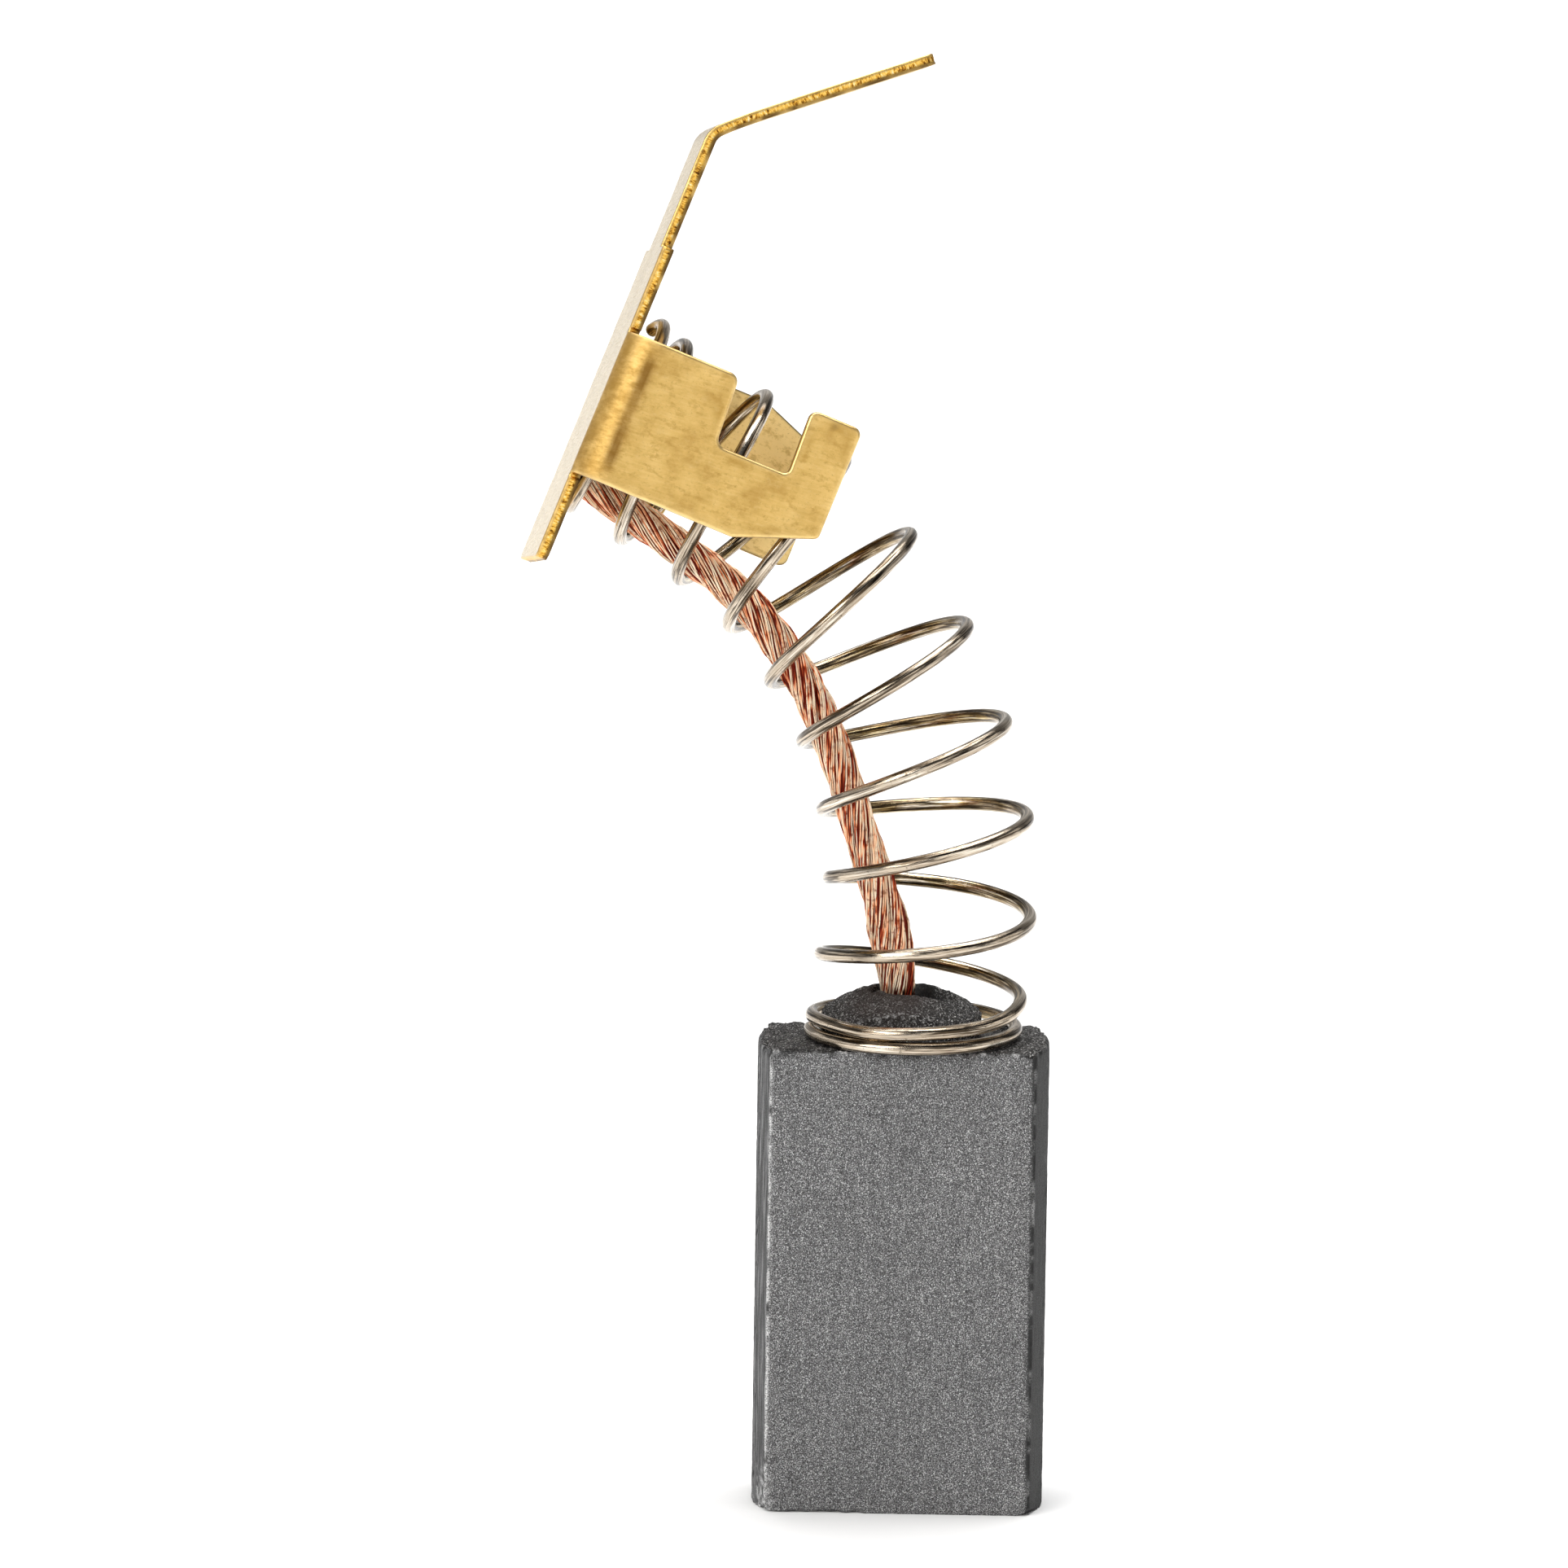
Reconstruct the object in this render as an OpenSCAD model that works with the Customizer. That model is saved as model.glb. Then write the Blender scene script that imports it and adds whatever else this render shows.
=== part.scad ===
// Carbon brush for a small electric motor: a moulded carbon block with a
// domed boss, a stranded copper shunt lead, a coil spring bent over to one
// side, and a folded brass terminal with two hooked ears and a contact tongue.
//
// Millimetres, +Z up. The origin is the middle of the face that runs on the
// commutator, which is also the face that the brush stands on. X is across
// the block, Y is through its thickness, and the spring bends over towards -X.

/* [Carbon block] */
// Width of the block across X
block_w = 10; // [9.6:0.1:12]
// Thickness of the block along Y
block_d = 5; // [4.9:0.1:6]
// Height of the block from the running face to its top
block_h = 16.2; // [10:0.1:16.3]
// How far each corner bevel cuts in across the width
bevel_x = 0.45; // [0.2:0.05:0.9]
// How far each corner bevel runs along the thickness
bevel_y = 1.6; // [0.8:0.1:2]
// Radius of the domed boss at its foot
boss_r = 2.75; // [2.6:0.05:2.75]
// Radius of the ball that shapes the top of the boss
boss_ball_r = 4.4; // [4.3:0.05:4.6]
// Depth at which the ball's centre sits under the top of the block
boss_ball_drop = 2.53; // [2.45:0.01:2.6]
// Radius of the ball that hollows the crater around the lead
crater_ball_r = 1.3; // [1.2:0.05:1.6]
// Radius of the blind hole that holds the lead
lead_hole_r = 0.66; // [0.66:0.01:0.8]
// Level of the bottom of the blind hole
lead_hole_z = 11.9; // [8:0.1:11.9]

/* [Spring] */
// Diameter of the spring wire
wire_d = 0.46; // [0.3:0.01:0.46]
// Radius from the coil's middle to the wire's middle, at the block
coil_r_block = 3.52; // [3.45:0.01:3.6]
// The same radius at the terminal
coil_r_terminal = 3.4; // [3.36:0.01:3.42]
// Sides of the wire's section
wire_sides = 10; // [8:1:12]
// Rings of points in each turn of the wire
turn_rings = 26; // [20:1:28]

/* [Shunt lead] */
// Radius of the stranded lead over its bundles
lead_r = 0.62; // [0.4:0.01:0.64]
// Number of bundles that are twisted round each other
bundles = 7; // [5:1:8]
// Depth of the grooves between the bundles
groove = 0.07; // [0.02:0.01:0.12]
// Whole turns of twist along the lead
lay_turns = 4; // [2:0.5:6]
// How much wider the fused end is where it meets the plate
foot_scale = 1.12; // [1:0.01:1.15]

/* [Terminal] */
// Thickness of the brass sheet
sheet_t = 0.4; // [0.3:0.05:0.5]
// Width of the back plate outside the ears
plate_w = 6.6; // [6.4:0.1:7.6]
// Distance of the back plate's lower end from the spring's axis
plate_down = 5.7; // [5:0.1:7]
// Distance of the plate's shoulder from the spring's axis
plate_up = 5.75; // [4:0.05:7]
// Outside distance across the two ears
ears_w = 8.45; // [8.45:0.05:9]
// Half of an ear's height
ear_half = 2.58; // [2.3:0.01:3.5]
// Reach of an ear from the plate's outer face
ear_reach = 8.62; // [7.5:0.01:10]
// Outside radius of the fold between the plate and an ear
fold_r = 1.1; // [0.8:0.05:1.3]
// Where the hook's notch starts, from the plate's outer face
notch_x0 = 4.1; // [3:0.05:5]
// Where the hook's notch ends
notch_x1 = 6.82; // [6:0.01:7.2]
// Level of the notch's floor, from the ear's middle
notch_floor = 0.1; // [-1:0.05:1]
// Length of the slanted cut under the hook
cut_x = 2.75; // [1:0.05:4]
// Height of the slanted cut under the hook
cut_z = 1.05; // [0.5:0.05:2]
// Width of the contact tongue
tongue_w = 4.3; // [2.5:0.1:6]
// Level at which the tongue starts to bend
tongue_bend_z = 9.7; // [7:0.1:12]
// Inside radius of the tongue's bend
tongue_bend_r = 0.5; // [0.4:0.05:2]
// Angle of the tongue's bend
tongue_bend = 44.5; // [20:0.5:70]
// Angle of the gentle bow that follows the bend
tongue_bow = 5; // [2:1:8]
// Length of the tongue's flat end
tongue_len = 6; // [3:0.1:10]

/* [Hidden] */
tiny = 0.01;

// Middle of each coil of the spring, one point a turn, from one before the first
coil_mid = [
    [0.3, 0.25, 16.47], [0.3, 0.25, 16.42], [0.3, 0.25, 16.52], [0.6, 0.3, 18.7],
    [0.95, 0.45, 22.0], [0.5, 0.65, 24.7], [-0.35, 0.9, 27.55], [-1.8, 1.2, 30.15],
    [-3.6, 1.5, 32.55], [-5.65, 1.75, 34.4], [-8.25, 1.95, 36.1], [-10.53, 2.0, 37.33],
    [-10.55, 1.95, 37.8], [-9.28, 1.9, 37.93]
];
// Lean of each coil: the X and Y parts of the unit vector along its axis
coil_lean = [
    [0, 0], [0, 0], [0, 0], [0.08, 0.03],
    [-0.07, 0.07], [-0.22, 0.16], [-0.35, 0.14], [-0.54, 0.17],
    [-0.68, 0.18], [-0.77, 0.16], [-0.87, 0.1], [-0.93, -0.03],
    [-0.74, -0.13], [-0.69, -0.22]
];
coil_turns = 10.6;
// How far the second coil is pressed down towards the first at the front
coil_press = 0.28;

// Route of the lead, from the bottom of its hole to the plate
lead_route = [
    [-0.2, 0.25, 9.9], [-0.2, 0.25, 12.0], [-0.2, 0.25, 14.0], [-0.2, 0.25, 16.0],
    [-0.2, 0.25, 18.0], [-0.55, 0.3, 20.0], [-1.15, 0.4, 22.0], [-1.85, 0.5, 24.0],
    [-2.5, 0.6, 26.0], [-3.3, 0.75, 27.9], [-4.4, 0.95, 29.65], [-5.75, 1.15, 31.25],
    [-7.25, 1.3, 32.4], [-8.9, 1.4, 33.55], [-10.55, 1.5, 34.75], [-12.25, 1.6, 35.9]
];

// Place and turn of the terminal: its origin is on the plate's outer face,
// on the spring's axis; its X runs from the plate along the ears
terminal_at = [-11.05, 1.9, 37.75];
terminal_turn = [-11.5, 22.2, 1.8];

function unit(v) = v / norm(v);
function lerp(a, b, f) = a + (b - a) * f;
function clamp01(x) = max(0, min(1, x));
function smooth(x) = let (f = clamp01(x)) f * f * (3 - 2 * f);
// Uniform cubic B-spline through the list p, at t spans from its start
function spline(p, t) =
    let (u = max(0, min(len(p) - 3 - 1e-6, t)), i = floor(u), f = u - i)
        p[i] * pow(1 - f, 3) / 6 + p[i + 1] * (3 * f * f * f - 6 * f * f + 4) / 6
        + p[i + 2] * (-3 * f * f * f + 3 * f * f + 3 * f + 1) / 6 + p[i + 3] * f * f * f / 6;
function slope(p, t) = unit(spline(p, t + 0.01) - spline(p, t - 0.01));
// Closed tube from rings of points; every ring has the same number of sides
function tube_faces(rings, sides) = concat(
    [[for (j = [0:sides - 1]) j]],
    [for (i = [0:rings - 2]) for (j = [0:sides - 1])
        [i * sides + j, (i + 1) * sides + j, (i + 1) * sides + (j + 1) % sides, i * sides + (j + 1) % sides]],
    [[for (j = [sides - 1:-1:0]) (rings - 1) * sides + j]]
);
// Turns of the three axes of a frame rotated by terminal_turn
function spin_x(v, a) = [v.x, v.y * cos(a) - v.z * sin(a), v.y * sin(a) + v.z * cos(a)];
function spin_y(v, a) = [v.x * cos(a) + v.z * sin(a), v.y, -v.x * sin(a) + v.z * cos(a)];
function spin_z(v, a) = [v.x * cos(a) - v.y * sin(a), v.x * sin(a) + v.y * cos(a), v.z];
function turned(v) = spin_z(spin_y(spin_x(v, terminal_turn.x), terminal_turn.y), terminal_turn.z);
function placed(v) = terminal_at + turned(v);

// A polygon's corner rounded to radius r between its neighbours a and c
function round_corner(a, b, c, r, n = 5) =
    let (u = unit(a - b), v = unit(c - b),
        half = acos(u * v) / 2, reach = r / tan(half),
        mid = b + unit(u + v) * (r / sin(half)),
        p0 = b + u * reach, p1 = b + v * reach,
        a0 = atan2(p0.y - mid.y, p0.x - mid.x),
        d = (atan2(p1.y - mid.y, p1.x - mid.x) - a0 + 540) % 360 - 180)
        [for (k = [0:n]) mid + r * [cos(a0 + d * k / n), sin(a0 + d * k / n)]];
// A polygon from corners given as [x, y, radius]
function rounded(c) = [for (i = [0:len(c) - 1])
    let (n = len(c), p = c[(i + n - 1) % n], q = c[i], s = c[(i + 1) % n])
        each (q[2] > 0
            ? round_corner([p.x, p.y], [q.x, q.y], [s.x, s.y], q[2])
            : [[q.x, q.y]])];

// ---- carbon block ----
module block_plan() {
    x1 = block_w / 2; y1 = block_d / 2;
    x0 = x1 - bevel_x; y0 = y1 - bevel_y;
    polygon([[-x0, -y1], [x0, -y1], [x1, -y0], [x1, y0], [x0, y1], [-x0, y1], [-x1, y0], [-x1, -y0]]);
}
boss_at = [-0.1, 0.1];
crater_at = [0.05, 0.1];
crater_up = boss_ball_r - boss_ball_drop + 0.6;

module carbon_block() color("#4a4a4c")
difference() {
    union() {
        linear_extrude(block_h) block_plan();
        // the boss: a ball's cap on a short round foot, cut flat front and back
        intersection() {
            translate([boss_at.x, boss_at.y, block_h - boss_ball_drop]) sphere(r = boss_ball_r, $fn = 64);
            translate([boss_at.x, boss_at.y, block_h - 1]) cylinder(r = boss_r, h = 4, $fn = 64);
            translate([-block_w / 2, -block_d / 2 + 0.25, block_h - 1]) cube([block_w, block_d - 0.45, 4]);
        }
    }
    translate([crater_at.x, crater_at.y, block_h + crater_up]) sphere(r = crater_ball_r, $fn = 48);
    translate([-0.2, 0.25, lead_hole_z]) cylinder(r = lead_hole_r, h = 10, $fn = 48);
}

// ---- shunt lead ----
lead_sides = 28;
lead_rings = 72;
lead_spans = 12.05;
function lead_section(a, spin, r) =
    let (w = r - groove * (0.5 - 0.5 * cos(bundles * (a - spin)))) w;
lead_foot = placed([sheet_t, 0, -2.42]);
lead_points = concat(
    [for (i = [0:lead_rings - 1])
        let (f = i / (lead_rings - 1), t = lead_spans * f, c = spline(lead_route, t), k = slope(lead_route, t),
            b = unit(cross(k, [1, 0, 0])), n = cross(b, k))
            for (j = [0:lead_sides - 1])
                let (a = 360 * j / lead_sides, r = lead_section(a, lay_turns * 360 * f, lead_r))
                    c + r * (cos(a) * n + sin(a) * b)],
    // the fused end lies flat on the plate's inner face
    [for (j = [0:lead_sides - 1])
        let (a = 360 * j / lead_sides, k = turned([-1, 0, 0]), b = unit(cross(k, [1, 0, 0])), n = cross(b, k),
            r = lead_section(a, lay_turns * 360, lead_r) * foot_scale)
            lead_foot + r * (cos(a) * n + sin(a) * b)]
);

module shunt_lead() color("#c77a55")
    polyhedron(lead_points, tube_faces(lead_rings + 1, lead_sides), convexity = 8);

// ---- spring ----
spring_rings = floor(coil_turns * turn_rings);
function coil_axis(t) =
    let (q = spline(coil_lean, t)) unit([q.x, q.y, sqrt(max(0.05, 1 - q * q))]);
function coil_radius(t) = lerp(coil_r_block, coil_r_terminal, smooth((t - 1.5) / 3.5));
function wire_at(t) =
    let (k = coil_axis(t), b = unit([0, 1, 0] - k * k.y), n = cross(b, k), a = 360 * t)
        spline(coil_mid, t) - coil_radius(t) * (cos(a) * n + sin(a) * b)
        - [0, 0, coil_press * exp(-pow((t - 1.28) / 0.17, 4))];
spring_points = [for (i = [0:spring_rings])
    let (t = coil_turns * i / spring_rings, c = wire_at(t),
        k = unit(wire_at(t + 0.004) - wire_at(t - 0.004)),
        out = c - spline(coil_mid, t), b = unit(cross(k, out)), n = cross(b, k))
        for (j = [0:wire_sides - 1])
            let (a = 360 * (j + 0.5) / wire_sides)
                c + wire_d / 2 * (cos(a) * n + sin(a) * b)];

module spring() color("#8f8678")
    polyhedron(spring_points, tube_faces(spring_rings + 1, wire_sides), convexity = 12);

// ---- terminal ----
// One ear in the plane of X and Z, seen from the front: hook up, cut below
function ear_outline() = rounded([
    [fold_r, -ear_half, 0], [ear_reach - cut_x, -ear_half, 0.2], [ear_reach, -ear_half + cut_z, 0.22],
    [ear_reach, ear_half - 0.1, 0.3], [notch_x1 - 0.08, ear_half - 0.1, 0.3],
    [notch_x1, notch_floor, 0.2], [notch_x0 + 0.08, notch_floor, 0.32],
    [notch_x0 - 0.06, ear_half, 0.35], [fold_r, ear_half, 0]
]);
// The front ear, its fold included
module ear() {
    y0 = -ears_w / 2;
    translate([0, y0 + sheet_t, 0]) rotate([90, 0, 0]) linear_extrude(sheet_t) polygon(ear_outline());
    translate([fold_r, y0 + fold_r, -ear_half]) rotate([0, 0, 180])
        rotate_extrude(angle = 90, $fn = 48) translate([fold_r - sheet_t, 0]) square([sheet_t, 2 * ear_half]);
}
// The tongue's profile in X and Z: up, round the bend, along the bow, then flat
bow_r = 20;
tongue_total = tongue_bend + tongue_bow;
function bend_point(r, a) = [sheet_t + tongue_bend_r - r * cos(a), tongue_bend_z + r * sin(a)];
function bow_point(r, a) = bend_point(tongue_bend_r - bow_r, tongue_bend) + r * [-cos(a), sin(a)];
function tongue_end(r) = bow_point(r, tongue_total) + tongue_len * [sin(tongue_total), cos(tongue_total)];
function tongue_profile(z0) = concat(
    [[0, z0]],
    [for (k = [0:8]) bend_point(tongue_bend_r + sheet_t, tongue_bend * k / 8)],
    [for (k = [1:3]) bow_point(bow_r + sheet_t, tongue_bend + tongue_bow * k / 3)],
    [tongue_end(bow_r + sheet_t), tongue_end(bow_r)],
    [for (k = [3:-1:1]) bow_point(bow_r, tongue_bend + tongue_bow * k / 3)],
    [for (k = [8:-1:0]) bend_point(tongue_bend_r, tongue_bend * k / 8)],
    [[sheet_t, z0]]
);
tongue_corner = 0.35;
module tongue() {
    end = tongue_end(bow_r + sheet_t);
    difference() {
        rotate([90, 0, 0]) linear_extrude(tongue_w, center = true) polygon(tongue_profile(plate_up - 0.5));
        // rounded corners at the free end
        translate([end.x, 0, end.y]) rotate([0, tongue_total, 0]) for (s = [-1, 1])
            translate([0, s * (tongue_w / 2 - tongue_corner), -tongue_corner]) difference() {
                translate([-0.5, s > 0 ? 0 : -1, 0]) cube([1.5, 1, 1]);
                rotate([0, 90, 0]) cylinder(r = tongue_corner, h = 6, center = true, $fn = 32);
            }
    }
}
module terminal() color("#c9a24f")
translate(terminal_at) rotate(terminal_turn) {
    difference() {
        // the flat back plate, in the plane of Y and Z
        rotate([0, -90, 0]) translate([0, 0, -sheet_t]) linear_extrude(sheet_t) polygon(rounded([
            [-plate_down, -plate_w / 2, 0.3], [plate_up, -plate_w / 2, 0.15],
            [plate_up, plate_w / 2, 0.15], [-plate_down, plate_w / 2, 0.3]
        ]));
        // room for the folds, with a narrow relief above and below each
        for (s = [-1, 1]) translate([-1, s > 0 ? ears_w / 2 - fold_r : -plate_w, -ear_half - 0.15])
            cube([2, s > 0 ? plate_w : plate_w - ears_w / 2 + fold_r, 2 * ear_half + 0.3]);
    }
    ear();
    rotate([180, 0, 0]) ear();
    tongue();
}

carbon_block();
shunt_lead();
spring();
terminal();
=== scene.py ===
import bpy, math
import numpy as np
from mathutils import Vector, Matrix, geometry


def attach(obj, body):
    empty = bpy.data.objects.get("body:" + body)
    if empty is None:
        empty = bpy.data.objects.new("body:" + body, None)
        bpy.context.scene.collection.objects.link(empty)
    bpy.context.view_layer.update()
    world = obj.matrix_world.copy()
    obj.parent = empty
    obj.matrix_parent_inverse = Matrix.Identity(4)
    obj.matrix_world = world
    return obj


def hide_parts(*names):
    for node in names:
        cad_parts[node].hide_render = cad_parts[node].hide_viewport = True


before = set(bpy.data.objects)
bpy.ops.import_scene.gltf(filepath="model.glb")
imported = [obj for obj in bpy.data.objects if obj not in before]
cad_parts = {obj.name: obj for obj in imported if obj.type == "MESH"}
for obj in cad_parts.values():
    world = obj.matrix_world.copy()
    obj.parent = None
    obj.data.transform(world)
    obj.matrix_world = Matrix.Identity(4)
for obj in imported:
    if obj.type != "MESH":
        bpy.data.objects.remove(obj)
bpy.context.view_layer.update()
MM = 0.001
scene = bpy.context.scene
A = np.array

# --------------------------------------------------------------------------
# small helpers (all lengths here are in mm, turned into metres at the end)
# --------------------------------------------------------------------------


def unit(v):
    v = np.asarray(v, float)
    return v / np.maximum(np.linalg.norm(v, axis=-1, keepdims=True), 1e-12)


def spline(p, t):
    """Uniform cubic B-spline through the rows of p at the parameters t."""
    p = np.asarray(p, float)
    t = np.clip(np.atleast_1d(t), 0, len(p) - 3 - 1e-6)
    i = np.floor(t).astype(int)
    f = (t - i)[:, None]
    return (
        p[i] * (1 - f) ** 3
        + p[i + 1] * (3 * f**3 - 6 * f**2 + 4)
        + p[i + 2] * (-3 * f**3 + 3 * f**2 + 3 * f + 1)
        + p[i + 3] * f**3
    ) / 6


def smooth(x):
    x = np.clip(x, 0, 1)
    return x * x * (3 - 2 * x)


class Noise:
    """Seeded gradient-free value noise on a lattice, in 1 to 3 dimensions."""

    def __init__(self, seed):
        self.g = np.random.RandomState(seed).rand(64, 64, 64)

    def __call__(self, p, scale=1.0):
        p = np.atleast_2d(np.asarray(p, float)) * scale
        if p.shape[1] < 3:
            p = np.hstack([p, np.zeros((len(p), 3 - p.shape[1]))])
        i = np.floor(p).astype(int)
        f = smooth(p - i)
        r = 0
        for dx in (0, 1):
            for dy in (0, 1):
                for dz in (0, 1):
                    w = (
                        (f[:, 0] if dx else 1 - f[:, 0])
                        * (f[:, 1] if dy else 1 - f[:, 1])
                        * (f[:, 2] if dz else 1 - f[:, 2])
                    )
                    r = r + w * self.g[(i[:, 0] + dx) % 64, (i[:, 1] + dy) % 64, (i[:, 2] + dz) % 64]
        return r * 2 - 1

    def fbm(self, p, scale=1.0, octaves=3):
        return sum(self(p + 7.3 * k if np.ndim(p) else p, scale * 2**k) * 0.5**k for k in range(octaves))


def mesh_object(name, verts, faces, attrs=None, smooth_faces=True, smooth_mask=None):
    me = bpy.data.meshes.new(name)
    me.from_pydata((np.asarray(verts) * MM).tolist(), [], [tuple(int(k) for k in f) for f in faces])
    me.validate()
    me.update()
    n = len(me.polygons)
    if smooth_mask is not None and len(smooth_mask) == n:
        me.polygons.foreach_set("use_smooth", np.asarray(smooth_mask, bool))
    else:
        me.polygons.foreach_set("use_smooth", np.full(n, smooth_faces))
    for key, val in (attrs or {}).items():
        val = np.asarray(val, np.float32)
        kind = "FLOAT_VECTOR" if val.ndim == 2 else "FLOAT"
        at = me.attributes.new(key, kind, "POINT")
        at.data.foreach_set("vector" if val.ndim == 2 else "value", val.ravel())
    o = bpy.data.objects.new(name, me)
    scene.collection.objects.link(o)
    return o


def tube_faces(rings, sides, base=0, caps=True):
    i = np.arange(rings - 1)[:, None] * sides
    j = np.arange(sides)[None, :]
    k = (j + 1) % sides
    q = np.stack([i + j, i + k, i + sides + k, i + sides + j], -1).reshape(-1, 4) + base
    f = q.tolist()
    if caps:
        f.append(list(range(base + sides - 1, base - 1, -1)))
        f.append(list(range(base + (rings - 1) * sides, base + rings * sides)))
    return f


def sweep_frames(c, up=(1.0, 0.2, 0.1)):
    """Tangents and rotation-minimising normals along the rows of c."""
    t = unit(np.gradient(c, axis=0))
    n = np.zeros_like(c)
    v = np.asarray(up, float)
    for i in range(len(c)):
        v = v - t[i] * (v @ t[i])
        v = v / np.linalg.norm(v)
        n[i] = v
    return t, n, np.cross(t, n)


# --------------------------------------------------------------------------
# node materials
# --------------------------------------------------------------------------


class Mat:
    def __init__(self, name):
        self.m = bpy.data.materials.new(name)
        self.m.use_nodes = True
        self.t = self.m.node_tree
        self.t.nodes.clear()
        self.out = self.t.nodes.new("ShaderNodeOutputMaterial")
        self.b = self.t.nodes.new("ShaderNodeBsdfPrincipled")
        self.t.links.new(self.b.outputs[0], self.out.inputs[0])

    def node(self, kind, **kw):
        n = self.t.nodes.new("ShaderNode" + kind)
        ins = kw.pop("ins", {})
        for k, v in kw.items():
            setattr(n, k, v)
        for k, v in ins.items():
            s = n.inputs[k]
            if isinstance(v, bpy.types.NodeSocket):
                self.t.links.new(v, s)
            else:
                s.default_value = v
        return n

    def set(self, **kw):
        for k, v in kw.items():
            s = self.b.inputs[k.replace("_", " ")]
            if isinstance(v, bpy.types.NodeSocket):
                self.t.links.new(v, s)
            else:
                s.default_value = v

    def attr(self, name):
        return self.node("Attribute", attribute_name=name, attribute_type="GEOMETRY")

    def coords(self):
        return self.node("TexCoord").outputs["Object"]

    def scaled(self, vec, scale, rot=(0, 0, 0)):
        return self.node("Mapping", ins={"Vector": vec, "Scale": scale, "Rotation": rot}).outputs[0]

    def noise(self, vec, scale, detail=3.0, rough=0.55, distort=0.0):
        return self.node(
            "TexNoise", ins={"Vector": vec, "Scale": scale, "Detail": detail, "Roughness": rough, "Distortion": distort}
        ).outputs[0]

    def ramp(self, fac, stops, interp="LINEAR"):
        n = self.node("ValToRGB", ins={"Fac": fac})
        n.color_ramp.interpolation = interp
        e = n.color_ramp.elements
        while len(e) > 1:
            e.remove(e[-1])
        for k, (pos, col) in enumerate(stops):
            el = e[0] if k == 0 else e.new(pos)
            el.position = pos
            if np.isscalar(col):
                col = (col, col, col)
            el.color = (*col[:3], 1)
        return n.outputs[0]

    def mix(self, fac, a, b, mode="MIX"):
        n = self.node("Mix", data_type="RGBA", blend_type=mode)
        for k, v in zip((0, 6, 7), (fac, a, b)):
            if isinstance(v, bpy.types.NodeSocket):
                self.t.links.new(v, n.inputs[k])
            else:
                n.inputs[k].default_value = v if k == 0 else (*v[:3], 1)
        return n.outputs[2]

    def math(self, op, a, b=None, c=None, clamp=False):
        n = self.node("Math", operation=op)
        n.use_clamp = clamp
        for s, v in zip(n.inputs, (a, b, c)):
            if v is None:
                continue
            if isinstance(v, bpy.types.NodeSocket):
                self.t.links.new(v, s)
            else:
                s.default_value = v
        return n.outputs[0]

    def bump(self, height, strength, dist, normal=None):
        ins = {"Height": height, "Strength": strength, "Distance": dist}
        if normal is not None:
            ins["Normal"] = normal
        return self.node("Bump", ins=ins).outputs[0]


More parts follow.
